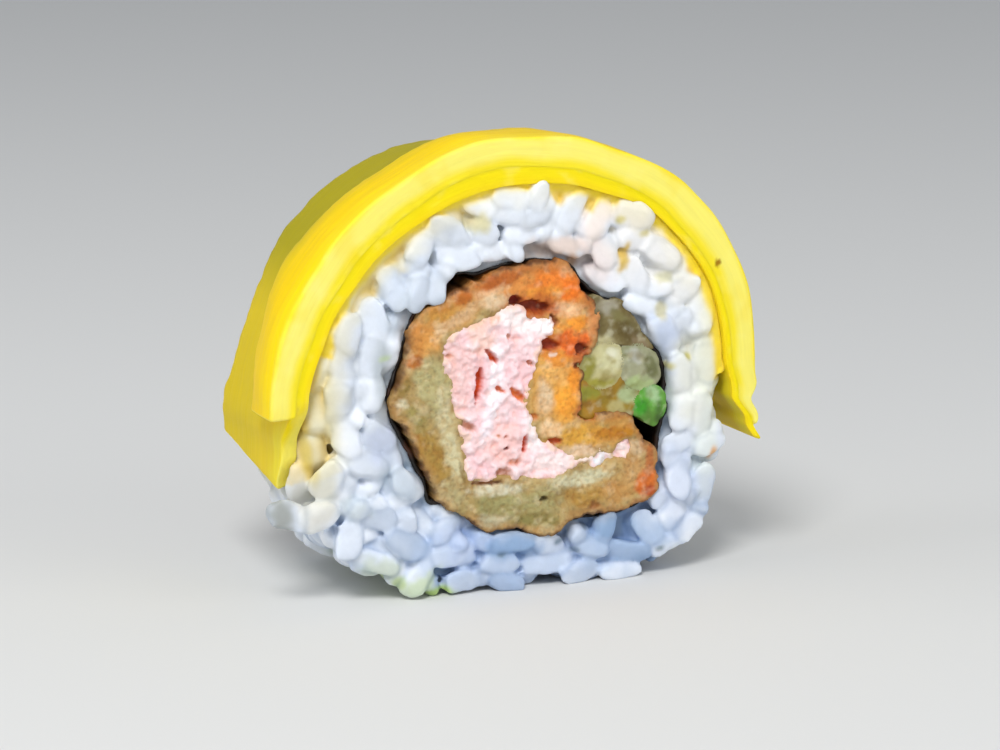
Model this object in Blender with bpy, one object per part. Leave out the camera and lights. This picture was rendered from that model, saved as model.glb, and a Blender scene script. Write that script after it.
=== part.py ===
"""One cut piece of an inside-out sushi roll, lying on its rounded side.

A fried coat round pink flesh and five pieces of cucumber are wrapped in seaweed, then in
rice, and two slices of mango hang over the top. The roll's axis runs along Y, with one
cut face towards -Y and the other towards +Y. The origin is on the board, under the
middle of the axis. All sizes are in millimetres, from the roll's axis, and each mesh is
scaled to metres when it is made.
"""

import math
import random

import bmesh
import bpy
from mathutils import Matrix, Vector, geometry, noise

MM = 0.001

# Driving sizes of the whole piece.
PIECE_DEPTH = 23.0
AXIS_HEIGHT = 23.7
SEAWEED_THICKNESS = 0.5
CLEARANCE = 0.3

# How much less deep than the roll the parts of the filling are.
FLESH_SHORTER = 0.4
STICK_SHORTER = 1.4
SEAWEED_SHORTER = 0.8

# A cooked grain of short rice.
GRAIN_LENGTH = 6.2
GRAIN_WIDTH = 3.6
GRAIN_THICKNESS = 2.9
GRAIN_SPREAD = 0.10
GRAIN_SHORTEST = 0.72
GRAIN_SIDES = 5
GRAIN_RINGS = ((-0.66, 0.72), (0.0, 1.0), (0.66, 0.72))
GRAIN_SEED = 11

# How the grains lie: how far apart, how far they tip, and how far their middles may stand
# in or out of the faces and of the open side. Distances in millimetres, the tip in radians.
GRAIN_TRIES = 12000
FACE_GRAIN_SPACING = 3.05
SIDE_GRAIN_SPACING = 3.6
GRAIN_TIP = 0.3
FACE_GRAIN_STAND = (-0.1, 0.5)
SIDE_GRAIN_STAND = (-0.2, 0.6)
WRAP_SPACE = CLEARANCE + 0.1
FACE_REACH = 0.5
OPEN_SIDE_REACH = 0.6

# The solid core under the grains, and the angles where the slices and the board touch it.
CORE_INSET = 1.5
COVERED_FROM, COVERED_TO = 358.0, 199.0
RESTING_FROM, RESTING_TO = 246.0, 296.0
BOARD_DEPTH = 20.0

# How finely each cut face is divided, and how high its crags stand.
COAT_SPACING, COAT_RELIEF = 2.0, 0.55
FLESH_SPACING, FLESH_RELIEF = 1.5, 0.5
STICK_SPACING, STICK_RELIEF = 2.2, 0.25
RICE_RIM_SPACING, RICE_HUB_SPACING, RICE_FACE_SPACING = 3.4, 2.38, 5.44
SEAWEED_SPACING = 1.8
COAT_BORDER_SPACING, STICK_BORDER_SPACING = 1.5, 1.65
CURVE_STEPS = 12

# Crags are noise: their width in grid spacings, and how far the grid itself is shaken and
# kept from the border, also in grid spacings.
CRAG_WIDTH = 1.6
CRAG_LAYER = 7.3
GRID_SHAKE = 0.22
BORDER_SPACE = 0.6

# The coat's outline: how far it is drawn in, over what angle, and the angle of each step.
COAT_CRAGS = 0.55
COAT_CRAG_ARC = 9.0
COAT_STEP = 6.2

# Each table below gives a radius at angles in degrees, anticlockwise from +X as seen from
# the front, with a smooth curve between them.
RICE_RADIUS = (
    (0, 25.4),
    (28, 25.5),
    (47, 25.2),
    (61, 24.5),
    (75, 23.7),
    (90, 23.4),
    (120, 23.2),
    (143, 23.7),
    (156, 24.1),
    (180, 23.7),
    (199, 24.6),
    (209, 28.0),
    (221, 28.9),
    (234, 27.0),
    (248, 25.6),
    (262, 24.2),
    (278, 24.2),
    (291, 25.3),
    (304, 28.2),
    (318, 29.7),
    (331, 28.4),
    (345, 26.7),
)
WRAP_RADIUS = (
    (0, 18.7),
    (18, 16.7),
    (35, 16.2),
    (50, 14.9),
    (70, 15.9),
    (91, 15.0),
    (118, 15.9),
    (132, 15.2),
    (150, 15.9),
    (180, 16.4),
    (206, 15.6),
    (228, 16.6),
    (243, 16.2),
    (262, 17.2),
    (284, 18.0),
    (302, 18.9),
    (319, 21.8),
    (338, 20.0),
)
COAT_STANDOFF = ((70, 0.0), (98, 0.1), (114, 1.4), (130, 0.2), (200, 0.3), (300, 0.2))
UNDER_RADIUS = (
    (-17, 30.9),
    (-12, 28.4),
    (-6, 26.6),
    (4, 25.9),
    (24, 26.1),
    (47, 25.6),
    (70, 24.3),
    (90, 23.8),
    (118, 23.6),
    (143, 24.1),
    (160, 24.8),
    (180, 25.8),
    (190, 27.0),
    (201, 28.6),
)
UNDER_THICKNESS = ((-17, 1.1), (40, 1.2), (70, 2.0), (100, 2.4), (135, 1.8), (201, 1.8))
UNDER_BACK_LIFT = ((40, 0.0), (90, 0.5), (135, 1.1), (165, 0.5), (180, 0.0))
OVER_THICKNESS = ((-8, 1.9), (4, 2.6), (43, 3.2), (90, 3.0), (155, 3.2), (183, 2.6))

# The slices' ends and edges: an angle or a depth at the front, and the same at the back.
UNDER_RIGHT_END, UNDER_LEFT_END = (-15.5, -16.5), (200.5, 194.0)
OVER_RIGHT_END, OVER_LEFT_END = (-7.0, -4.0), (182.5, 183.0)
UNDER_FRONT = ((-17, -11.5), (178, -11.5), (192, -8.5), (201, -6.5))
UNDER_BACK = ((-17, 11.3), (30, 11.4), (90, 10.6), (150, 11.0), (201, 11.5))
OVER_FRONT = ((-17, -11.5), (201, -11.5))
OVER_BACK = ((-8, -6.5), (20, -4.0), (75, -1.5), (110, -2.8), (150, -1.5), (183, -4.5))

# Each slice's unevenness: how far its back edge waves and over what angle, and how much its
# thickness swells, over what angle and depth.
EDGE_WAVE, EDGE_WAVE_ARC = 0.7, 7.0
SLICE_SWELL, SWELL_ARC, SWELL_DEPTH = 0.10, 12.0, 6.0
SLICE_STEP = 5.5
UNDER_PHASE, OVER_PHASE = 2.0, 5.0

# The rounded back edge of a slice's section: how far across and how far out. The over slice
# spans this share of the under slice's depth.
BACK_EDGE = ((0.985, 0.12), (1.0, 0.5), (0.97, 0.88))
UNDER_DIVISIONS, OVER_DIVISIONS = 4, 3
OVER_REACH = 0.45

# Outlines on the cut face, as X and height above the axis. The first is the coat's right
# side, which the cucumber lies against, from its top lobe to its lower arm.
COAT_RIGHT_SIDE = (
    (6.3, 12.9),
    (8.4, 9.8),
    (9.1, 7.2),
    (7.4, 4.4),
    (7.3, 0.2),
    (6.9, -3.0),
    (9.2, -4.6),
    (13.1, -5.3),
    (15.4, -7.8),
    (16.9, -9.6),
)
COAT_ARC_START, COAT_ARC_END = 68.0, 323.0
FLESH_OUTLINE = (
    (-0.6, 10.0),
    (1.6, 8.1),
    (3.9, 7.4),
    (2.6, 5.2),
    (1.6, 2.2),
    (0.9, -2.0),
    (2.6, -5.7),
    (5.6, -7.5),
    (11.2, -7.8),
    (10.6, -8.8),
    (6.2, -9.3),
    (3.0, -10.9),
    (-2.6, -10.5),
    (-6.4, -10.2),
    (-7.2, -5.0),
    (-8.2, -0.4),
    (-9.8, 3.4),
    (-9.6, 6.8),
    (-4.6, 8.6),
)
STICK_OUTLINES = {
    "cucumber_upper": ((9.3, 10.3), (12.3, 9.1), (14.6, 5.9), (15.4, 3.6), (12.6, 2.9), (8.6, 4.2), (9.8, 7.2)),
    "cucumber_middle": ((8.2, 3.4), (10.8, 3.0), (12.8, 1.4), (12.6, -0.8), (10.2, -1.3), (8.1, -0.2)),
    "cucumber_right": ((13.3, 2.6), (15.4, 2.9), (17.1, 1.2), (16.8, -0.8), (14.6, -1.4), (13.1, -0.2)),
    "cucumber_lower": ((7.7, -1.6), (10.4, -1.9), (13.1, -1.4), (13.8, -2.6), (13.0, -4.7), (9.6, -4.1), (7.5, -2.9)),
    "cucumber_skin": ((14.3, -3.2), (16.3, -1.8), (18.3, -3.3), (18.0, -5.0), (16.4, -6.4), (15.1, -5.4)),
}

# Colour as sRGB hex, roughness.
FINISHES = {
    "rice": ("DCE6F2", 0.35),
    "seaweed": ("1C160E", 0.55),
    "fried_coat": ("B58B4A", 0.6),
    "flesh": ("F4CBC3", 0.5),
    "cucumber_flesh": ("A9AC86", 0.3),
    "cucumber_rind": ("4C9A35", 0.3),
    "mango_flesh": ("F3D822", 0.35),
}


def clear_scene():
    """An empty scene, whatever it held."""
    for obj in list(bpy.data.objects):
        bpy.data.objects.remove(obj, do_unlink=True)


def linear(channel):
    """An sRGB channel from 0 to 1 as linear light."""
    return channel / 12.92 if channel <= 0.04045 else ((channel + 0.055) / 1.055) ** 2.4


def make_material(name):
    """The finish of that name as a Principled material."""
    colour_hex, roughness = FINISHES[name]
    channels = [linear(int(colour_hex[i : i + 2], 16) / 255) for i in (0, 2, 4)]
    material = bpy.data.materials.new(name)
    material.use_nodes = True
    shader = material.node_tree.nodes["Principled BSDF"]
    shader.inputs["Base Color"].default_value = (*channels, 1.0)
    shader.inputs["Roughness"].default_value = roughness
    shader.inputs["Metallic"].default_value = 0.0
    return material


def make_object(name, bm, material, axis, collection):
    """An object of this mesh, scaled to metres and hung from the roll's axis."""
    bmesh.ops.scale(bm, vec=(MM, MM, MM), verts=bm.verts)
    bmesh.ops.recalc_face_normals(bm, faces=bm.faces)
    mesh = bpy.data.meshes.new(name)
    bm.to_mesh(mesh)
    bm.free()
    mesh.materials.append(material)
    obj = bpy.data.objects.new(name, mesh)
    obj.parent = axis
    collection.objects.link(obj)
    return obj


def on_curve(before, start, end, after, part):
    """A point or number on the smooth curve from start to end, between its neighbours."""
    square, cube = part * part, part * part * part
    return 0.5 * (
        start * 2
        + (end - before) * part
        + (before * 2 - start * 5 + end * 4 - after) * square
        + (start * 3 - before - end * 3 + after) * cube
    )


def at_angle(table, degrees, closed=True):
    """The value of a table at an angle, which runs on past the table's end if it is closed."""
    angles = [angle for angle, _ in table]
    values = [value for _, value in table]
    count = len(table)
    if not closed:
        if degrees <= angles[0]:
            return values[0]
        if degrees >= angles[-1]:
            return values[-1]
        last = max(i for i in range(count - 1) if angles[i] <= degrees)
        part = (degrees - angles[last]) / (angles[last + 1] - angles[last])
        eased = part * part * (3 - 2 * part)
        return values[last] + (values[last + 1] - values[last]) * eased
    degrees = (degrees - angles[0]) % 360 + angles[0]
    last = max(i for i in range(count) if angles[i] <= degrees)
    following = angles[(last + 1) % count] + (360 if last == count - 1 else 0)
    part = (degrees - angles[last]) / (following - angles[last])
    around = [values[(last + step) % count] for step in (-1, 0, 1, 2)]
    return on_curve(*around, part)


def polar(radius, degrees):
    """The point at this radius and angle on a cut face."""
    turn = math.radians(degrees)
    return Vector((radius * math.cos(turn), radius * math.sin(turn)))


def angle_of(point):
    """A point's angle round the axis, from 0 to 360 degrees."""
    return math.degrees(math.atan2(point[1], point[0])) % 360


def circuit(table, spacing, inset):
    """The closed outline of a table of radii, drawn in by an inset for each angle."""
    mean = sum(radius for _, radius in table) / len(table)
    count = round(2 * math.pi * mean / spacing)
    turns = [360 * step / count for step in range(count)]
    return [polar(at_angle(table, turn) - inset(turn), turn) for turn in turns]


def through(points, spacing, closed=True):
    """Points at an even spacing on the smooth curve through the given ones."""
    knots = [Vector(point) for point in points]
    if not closed:
        knots = [knots[0] * 2 - knots[1], *knots, knots[-1] * 2 - knots[-2]]
    count = len(knots)
    spans = range(count) if closed else range(1, count - 2)
    dense = []
    for i in spans:
        around = [knots[(i + step) % count] for step in (-1, 0, 1, 2)]
        dense += [on_curve(*around, part / CURVE_STEPS) for part in range(CURVE_STEPS)]
    dense.append(dense[0].copy() if closed else knots[-2])
    return evenly(dense, spacing, closed)


def evenly(points, spacing, closed):
    """Points at an even spacing along a broken line."""
    lengths = [0.0]
    for start, end in zip(points, points[1:]):
        lengths.append(lengths[-1] + (end - start).length)
    steps = max(3, round(lengths[-1] / spacing))
    result = []
    span = 0
    for step in range(steps + (0 if closed else 1)):
        wanted = lengths[-1] * step / steps
        while span < len(points) - 2 and lengths[span + 1] < wanted:
            span += 1
        length = lengths[span + 1] - lengths[span]
        part = (wanted - lengths[span]) / length if length else 0.0
        result.append(points[span].lerp(points[span + 1], min(part, 1.0)))
    return result


def grown(outline, distance):
    """An anticlockwise outline moved out by a distance, along the line between its sides."""
    moved = []
    for i, point in enumerate(outline):
        along = (outline[(i + 1) % len(outline)] - outline[i - 1]).normalized()
        moved.append(point + Vector((along.y, -along.x)) * distance)
    return moved


def inside(point, loops):
    """Whether a point lies inside an odd number of the loops."""
    odd = False
    for loop in loops:
        for start, end in zip(loop, loop[1:] + loop[:1]):
            if (start[1] > point[1]) == (end[1] > point[1]):
                continue
            crossing = start[0] + (point[1] - start[1]) / (end[1] - start[1]) * (end[0] - start[0])
            odd ^= point[0] < crossing
    return odd


def field_points(loops, spacing, draw):
    """Points spread over the face between the loops, in a shaken triangular grid."""
    corner = [point for loop in loops for point in loop]
    low_x, high_x = min(p[0] for p in corner), max(p[0] for p in corner)
    low_z, high_z = min(p[1] for p in corner), max(p[1] for p in corner)
    row_height = spacing * math.sqrt(3) / 2
    found = []
    for row in range(int((high_z - low_z) / row_height) + 1):
        for column in range(int((high_x - low_x) / spacing) + 2):
            point = Vector((low_x + (column + 0.5 * (row % 2)) * spacing, low_z + row * row_height))
            point += Vector((draw.uniform(-1, 1), draw.uniform(-1, 1))) * spacing * GRID_SHAKE
            clear = all((point - other).length > BORDER_SPACE * spacing for other in corner)
            if clear and inside(point, loops):
                found.append(point)
    return found


def slab(loops, spacing, relief, depth, draw):
    """A solid that runs through the roll, with crags on both cut faces.

    The first loop is its outline and any other is a hole. The relief is how far a face's
    own points stand in or out, and the depth is how far the two faces are apart.
    """
    border = [point for loop in loops for point in loop]
    points = border + field_points(loops, spacing, draw)
    sides = []
    first = 0
    for loop in loops:
        sides += [(first + i, first + (i + 1) % len(loop)) for i in range(len(loop))]
        first += len(loop)
    placed, _, triangles, origins, _, _ = geometry.delaunay_2d_cdt(points, sides, [], 0, 1e-5)
    index_of = {source: i for i, sources in enumerate(origins) for source in sources}
    kept = []
    for triangle in triangles:
        middle = sum((placed[i] for i in triangle), Vector((0, 0))) / 3
        if inside(middle, loops):
            kept.append(triangle)

    bm = bmesh.new()
    faces = []
    for way in (-1, 1):
        rows = []
        for point in placed:
            bump = noise.noise(Vector((point.x, point.y, CRAG_LAYER * way)) / (CRAG_WIDTH * spacing))
            y = way * (depth / 2 + relief * max(-1.0, min(1.0, 2 * bump)))
            rows.append(bm.verts.new((point.x, y, point.y)))
        faces.append(rows)
        for triangle in kept:
            bm.faces.new([rows[i] for i in triangle])
    for start, end in sides:
        a, b = index_of[start], index_of[end]
        bm.faces.new((faces[0][a], faces[0][b], faces[1][b], faces[1][a]))
    loose = [vert for vert in bm.verts if not vert.link_faces]
    bmesh.ops.delete(bm, geom=loose, context="VERTS")
    bmesh.ops.triangulate(bm, faces=bm.faces)
    return bm


def coat_outline():
    """The coat's outline: an arc inside the seaweed, with crags, and its right side."""
    right = through(COAT_RIGHT_SIDE, COAT_BORDER_SPACING, closed=False)
    steps = round((COAT_ARC_END - COAT_ARC_START) / COAT_STEP)
    arc = []
    for step in range(steps + 1):
        turn = COAT_ARC_START + (COAT_ARC_END - COAT_ARC_START) * step / steps
        crag = COAT_CRAGS * abs(noise.noise(Vector((turn / COAT_CRAG_ARC, 0.0, CRAG_LAYER))))
        gap = SEAWEED_THICKNESS + CLEARANCE + at_angle(COAT_STANDOFF, turn, closed=False)
        arc.append(polar(at_angle(WRAP_RADIUS, turn) - gap - crag, turn))
    return arc + list(reversed(right))


def make_fillings(materials, axis, collection):
    """The coat, its flesh, the cucumber and the seaweed, each a slab through the roll."""
    draw = random.Random(GRAIN_SEED)
    flesh = list(reversed(through(FLESH_OUTLINE, FLESH_SPACING)))
    coat = coat_outline()
    hole = grown(flesh, CLEARANCE)
    bm = slab([coat, hole], COAT_SPACING, COAT_RELIEF, PIECE_DEPTH, draw)
    make_object("batter", bm, materials["fried_coat"], axis, collection)
    bm = slab([flesh], FLESH_SPACING, FLESH_RELIEF, PIECE_DEPTH - FLESH_SHORTER, draw)
    make_object("flesh", bm, materials["flesh"], axis, collection)
    for name, outline in STICK_OUTLINES.items():
        rind = "cucumber_rind" if name == "cucumber_skin" else "cucumber_flesh"
        stick = through(outline, STICK_BORDER_SPACING)
        bm = slab([stick], STICK_SPACING, STICK_RELIEF, PIECE_DEPTH - STICK_SHORTER, draw)
        make_object(name, bm, materials[rind], axis, collection)
    outer = circuit(WRAP_RADIUS, SEAWEED_SPACING, lambda turn: 0.0)
    inner = circuit(WRAP_RADIUS, SEAWEED_SPACING, lambda turn: SEAWEED_THICKNESS)
    bm = slab([outer, inner], PIECE_DEPTH, 0.0, PIECE_DEPTH - SEAWEED_SHORTER, draw)
    make_object("nori", bm, materials["seaweed"], axis, collection)


def covered(degrees):
    """Whether the slices lie over the rice at this angle."""
    return degrees >= COVERED_FROM or degrees <= COVERED_TO


def resting(degrees):
    """Whether the rice lies on the board at this angle."""
    return RESTING_FROM < degrees < RESTING_TO


def grain_points(draw):
    """The points of one grain along X, plump in the middle, with a pole at each end."""
    length = GRAIN_LENGTH * draw.uniform(GRAIN_SHORTEST, 1 + GRAIN_SPREAD)
    width = GRAIN_WIDTH * draw.uniform(1 - GRAIN_SPREAD, 1 + GRAIN_SPREAD)
    thickness = GRAIN_THICKNESS * draw.uniform(1 - GRAIN_SPREAD, 1 + GRAIN_SPREAD)
    half = Vector((length, width, thickness)) / 2
    points = [Vector((-half.x, 0, 0))]
    for along, across in GRAIN_RINGS:
        for side in range(GRAIN_SIDES):
            turn = 2 * math.pi * side / GRAIN_SIDES
            points.append(
                Vector((along * half.x, across * half.y * math.cos(turn), across * half.z * math.sin(turn)))
            )
    points.append(Vector((half.x, 0, 0)))
    return points


def grain_faces():
    """The index triples of one grain's triangles."""
    last = 1 + GRAIN_SIDES * len(GRAIN_RINGS)
    faces = []
    for side in range(GRAIN_SIDES):
        following = (side + 1) % GRAIN_SIDES
        faces.append((0, 1 + following, 1 + side))
        for ring in range(len(GRAIN_RINGS) - 1):
            base = 1 + ring * GRAIN_SIDES
            a, b = base + side, base + following
            faces.append((a, b, b + GRAIN_SIDES))
            faces.append((a, b + GRAIN_SIDES, a + GRAIN_SIDES))
        base = last - GRAIN_SIDES
        faces.append((last, base + side, base + following))
    return faces


def grain_fits(points):
    """Whether a grain stays clear of the seaweed and of the slices over the rice."""
    for point in points:
        radius, degrees = math.hypot(point.x, point.z), angle_of((point.x, point.z))
        if radius < at_angle(WRAP_RADIUS, degrees) + WRAP_SPACE:
            return False
        if radius > at_angle(RICE_RADIUS, degrees) + (0.0 if covered(degrees) else OPEN_SIDE_REACH):
            return False
        if abs(point.y) > PIECE_DEPTH / 2 + FACE_REACH:
            return False
    return True


def scatter_grains(draw):
    """The points of each grain on the two cut faces and on the open side."""
    grains, centres = [], []
    kinds = [("front", FACE_GRAIN_SPACING), ("back", FACE_GRAIN_SPACING), ("side", SIDE_GRAIN_SPACING)]
    for kind, spacing in kinds:
        for _ in range(GRAIN_TRIES):
            turn = draw.uniform(0, 360)
            rim = at_angle(RICE_RADIUS, turn)
            if kind == "side":
                if covered(turn) or resting(turn):
                    continue
                flat = polar(rim - GRAIN_THICKNESS / 2 + draw.uniform(*SIDE_GRAIN_STAND), turn)
                depth = draw.uniform(-1, 1) * (PIECE_DEPTH / 2 - GRAIN_THICKNESS / 2)
                lean = Matrix.Rotation(-math.radians(turn), 4, "Y") @ Matrix.Rotation(math.pi / 2, 4, "Y")
            else:
                hub = at_angle(WRAP_RADIUS, turn)
                flat = polar(math.sqrt(draw.uniform(hub**2, rim**2)), turn)
                way = -1 if kind == "front" else 1
                depth = way * (PIECE_DEPTH / 2 - GRAIN_THICKNESS / 2 + draw.uniform(*FACE_GRAIN_STAND))
                lean = Matrix.Rotation(math.pi / 2, 4, "X")
            centre = Vector((flat.x, depth, flat.y))
            if any((centre - other).length < spacing for other in centres):
                continue
            spin = Matrix.Rotation(draw.uniform(0, math.pi), 4, "Z")
            tip = Matrix.Rotation(draw.uniform(-GRAIN_TIP, GRAIN_TIP), 4, "Y")
            place = Matrix.Translation(centre) @ lean @ spin @ tip
            points = [place @ point for point in grain_points(draw)]
            if grain_fits(points):
                grains.append(points)
                centres.append(centre)
    return grains


def core_inset(turn):
    """How far the core is drawn in at an angle: full where the slices or the board touch it."""
    return 0.0 if covered(turn) or resting(turn) else CORE_INSET


def keep_largest_shell(obj):
    """Drops loose scraps, and fills sealed hollows by dropping their walls."""
    bm = bmesh.new()
    bm.from_mesh(obj.data)
    bm.verts.ensure_lookup_table()
    unseen = set(bm.verts)
    shells = []
    while unseen:
        shell, edge = set(), [unseen.pop()]
        while edge:
            vert = edge.pop()
            shell.add(vert)
            for link in vert.link_edges:
                other = link.other_vert(vert)
                if other in unseen:
                    unseen.remove(other)
                    edge.append(other)
        shells.append(shell)
    shells.sort(key=len)
    for shell in shells[:-1]:
        bmesh.ops.delete(bm, geom=list(shell), context="VERTS")
    bm.to_mesh(obj.data)
    bm.free()


def make_rice(materials, axis, collection):
    """The rice: a core, grains fused on where they show, and a flat spot to rest on."""
    draw = random.Random(GRAIN_SEED)
    rim = circuit(RICE_RADIUS, RICE_RIM_SPACING, core_inset)
    hub = circuit(WRAP_RADIUS, RICE_HUB_SPACING, lambda turn: -WRAP_SPACE)
    bm = slab([rim, hub], RICE_FACE_SPACING, 0.0, PIECE_DEPTH - 2 * CORE_INSET, draw)
    rice = make_object("rice", bm, materials["rice"], axis, collection)

    heap = bpy.data.collections.new("rice_grains")
    bpy.context.scene.collection.children.link(heap)
    for number, points in enumerate(scatter_grains(draw)):
        bm = bmesh.new()
        verts = [bm.verts.new(point) for point in points]
        for face in grain_faces():
            bm.faces.new([verts[i] for i in face])
        make_object(f"grain_{number:03d}", bm, materials["rice"], axis, heap)

    bm = bmesh.new()
    bmesh.ops.create_cube(bm, size=1.0)
    bmesh.ops.scale(bm, vec=(4 * PIECE_DEPTH, 4 * PIECE_DEPTH, BOARD_DEPTH), verts=bm.verts)
    bmesh.ops.translate(bm, vec=(0, 0, -AXIS_HEIGHT - BOARD_DEPTH / 2), verts=bm.verts)
    board = make_object("board", bm, materials["rice"], axis, collection)

    join = rice.modifiers.new("grains", "BOOLEAN")
    join.operation = "UNION"
    join.operand_type = "COLLECTION"
    join.collection = heap
    join.solver = "EXACT"
    flat_spot = rice.modifiers.new("flat_spot", "BOOLEAN")
    flat_spot.operation = "DIFFERENCE"
    flat_spot.object = board
    flat_spot.solver = "EXACT"
    apply_modifiers(rice)
    for grain in list(heap.objects):
        bpy.data.objects.remove(grain, do_unlink=True)
    bpy.data.collections.remove(heap)
    bpy.data.objects.remove(board, do_unlink=True)
    keep_largest_shell(rice)


def apply_modifiers(obj):
    """Puts the result of the modifiers into the object's own mesh."""
    bpy.context.view_layer.update()
    graph = bpy.context.evaluated_depsgraph_get()
    mesh = bpy.data.meshes.new_from_object(obj.evaluated_get(graph))
    mesh.name = obj.name
    obj.modifiers.clear()
    obj.data = mesh


def slice_section(divisions):
    """The section of a slice: across from front to back, and out from the rice."""
    lower = [(step / divisions, 0.0) for step in range(divisions)]
    upper = [(step / divisions, 1.0) for step in reversed(range(divisions))]
    return [*lower, *BACK_EDGE, *upper]


def draped_slice(inner, thickness, edges, ends, divisions, phase):
    """A slice bent over the rice.

    The inner radius is a function of the angle and of how far across the slice it is, and
    the thickness of the angle. The edges are tables of depths for the front and the back.
    The ends are angles at the front and at the back, for the right end and the left one.
    """
    section = slice_section(divisions)
    (right_front, right_back), (left_front, left_back) = ends
    steps = round((left_front - right_front) / SLICE_STEP)
    bm = bmesh.new()
    rows = []
    for step in range(steps + 1):
        part = step / steps
        row = []
        for across, out in section:
            first = right_front + (right_back - right_front) * across
            last = left_front + (left_back - left_front) * across
            turn = first + (last - first) * part
            wave = EDGE_WAVE * across * noise.noise(Vector((turn / EDGE_WAVE_ARC, phase, 0.0)))
            near, far = (at_angle(edge, turn, closed=False) for edge in edges)
            depth = near + (far - near) * across + wave
            bump = noise.noise(Vector((turn / SWELL_ARC, depth / SWELL_DEPTH, phase)))
            swell = 1 + SLICE_SWELL * bump
            radius = inner(turn, across) + thickness(turn) * out * (swell if out else 1)
            flat = polar(radius, turn)
            row.append(bm.verts.new((flat.x, depth, flat.y)))
        rows.append(row)
    count = len(section)
    for near, far in zip(rows, rows[1:]):
        for i in range(count):
            j = (i + 1) % count
            bm.faces.new((near[i], near[j], far[j], far[i]))
    bm.faces.new(rows[0])
    bm.faces.new(list(reversed(rows[-1])))
    bmesh.ops.triangulate(bm, faces=bm.faces)
    return bm


def make_slices(materials, axis, collection):
    """The two mango slices, the wide thin one under the narrow thick one."""

    def under_inner(turn, across):
        lift = at_angle(UNDER_BACK_LIFT, turn, closed=False) * across**2
        return at_angle(UNDER_RADIUS, turn, closed=False) + lift

    def under_thickness(turn):
        return at_angle(UNDER_THICKNESS, turn, closed=False)

    def over_inner(turn, across):
        thickest = (1 + SLICE_SWELL) * under_thickness(turn)
        return under_inner(turn, across * OVER_REACH) + thickest + CLEARANCE

    def over_thickness(turn):
        return at_angle(OVER_THICKNESS, turn, closed=False)

    edges, ends = (UNDER_FRONT, UNDER_BACK), (UNDER_RIGHT_END, UNDER_LEFT_END)
    bm = draped_slice(under_inner, under_thickness, edges, ends, UNDER_DIVISIONS, UNDER_PHASE)
    make_object("mango_under", bm, materials["mango_flesh"], axis, collection)
    edges, ends = (OVER_FRONT, OVER_BACK), (OVER_RIGHT_END, OVER_LEFT_END)
    bm = draped_slice(over_inner, over_thickness, edges, ends, OVER_DIVISIONS, OVER_PHASE)
    make_object("mango_over", bm, materials["mango_flesh"], axis, collection)


def main():
    """Builds every solid of the piece in an empty scene."""
    clear_scene()
    collection = bpy.context.scene.collection
    axis = bpy.data.objects.new("roll_axis", None)
    axis.location.z = AXIS_HEIGHT * MM
    collection.objects.link(axis)
    materials = {name: make_material(name) for name in FINISHES}
    make_fillings(materials, axis, collection)
    make_rice(materials, axis, collection)
    make_slices(materials, axis, collection)


main()
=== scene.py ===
"""Looks of one cut piece of an inside-out sushi roll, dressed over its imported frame.

The roll lies on its rounded side with a cut face towards -Y. Each food is built from sizes in
millimetres, measured from the roll's axis: X to the right, Y along the axis away from the
viewer and Z up. Its mesh is scaled to metres and raised to the axis when it is published.
"""

import logging
import math
import random
from dataclasses import dataclass
from enum import Enum
from functools import cached_property
from typing import Any, Iterable, Sequence

import bpy
import numpy as np
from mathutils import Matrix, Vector, geometry, kdtree, noise


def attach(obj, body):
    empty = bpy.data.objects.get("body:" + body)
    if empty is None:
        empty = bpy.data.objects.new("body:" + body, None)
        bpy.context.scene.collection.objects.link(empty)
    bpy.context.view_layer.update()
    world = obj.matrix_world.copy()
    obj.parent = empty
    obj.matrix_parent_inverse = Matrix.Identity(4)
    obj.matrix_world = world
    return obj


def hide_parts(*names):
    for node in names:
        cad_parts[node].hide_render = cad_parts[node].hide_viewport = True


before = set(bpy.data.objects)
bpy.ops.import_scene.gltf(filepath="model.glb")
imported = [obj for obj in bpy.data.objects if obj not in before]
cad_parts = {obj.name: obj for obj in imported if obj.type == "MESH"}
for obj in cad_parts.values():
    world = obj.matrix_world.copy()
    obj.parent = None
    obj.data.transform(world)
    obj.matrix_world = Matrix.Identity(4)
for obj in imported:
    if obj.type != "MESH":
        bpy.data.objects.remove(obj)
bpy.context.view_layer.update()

log = logging.getLogger("sushi_roll")

# Rows of coordinates or colours, or one number for each point.
Rows = np.ndarray

# Faces as sequences of point numbers.
Faces = list[Sequence[int]]

MM = 0.001

# Driving sizes of the piece, in millimetres.
PIECE_DEPTH = 23.0
AXIS_HEIGHT = 23.7
BOARD = -AXIS_HEIGHT

# How far one seed shifts the noise's pattern from the next.
SEED_SHIFT = 7.31

# How many points a smooth curve first gets between two of its stops.
CURVE_STEPS = 24

# How much a stain's edge wavers, in halves of its size, and how wide those waves are: a share
# of its width and a margin. Nothing of a stain lies further out than its reach.
STAIN_WAVER = 0.5
STAIN_WAVE_SHARE = 0.4
STAIN_WAVE_MARGIN = 1.2
STAIN_REACH = 2.0

# How far a cut face's grid is shaken and how clear it stays of the outline, in triangles, and
# how close two of its points may be before they are one.
GRID_SHAKE = 0.2
GRID_CLEARANCE = 0.6
GRID_WELD = 1e-5

# Where the noise of a cut face is taken, in millimetres from the middle, so that a food's two
# cut faces differ, and how wide a flake of the flesh is.
FACE_LAYER = 9.0
FLAKE = 1.1


class Slot(Enum):
    """The record's material slots."""

    RICE = "rice"
    SEAWEED = "seaweed"
    FRIED_COAT = "fried_coat"
    FLESH = "flesh"
    CUCUMBER = "cucumber_flesh"
    RIND = "cucumber_rind"
    MANGO = "mango_flesh"


# Numbers and noise


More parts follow.
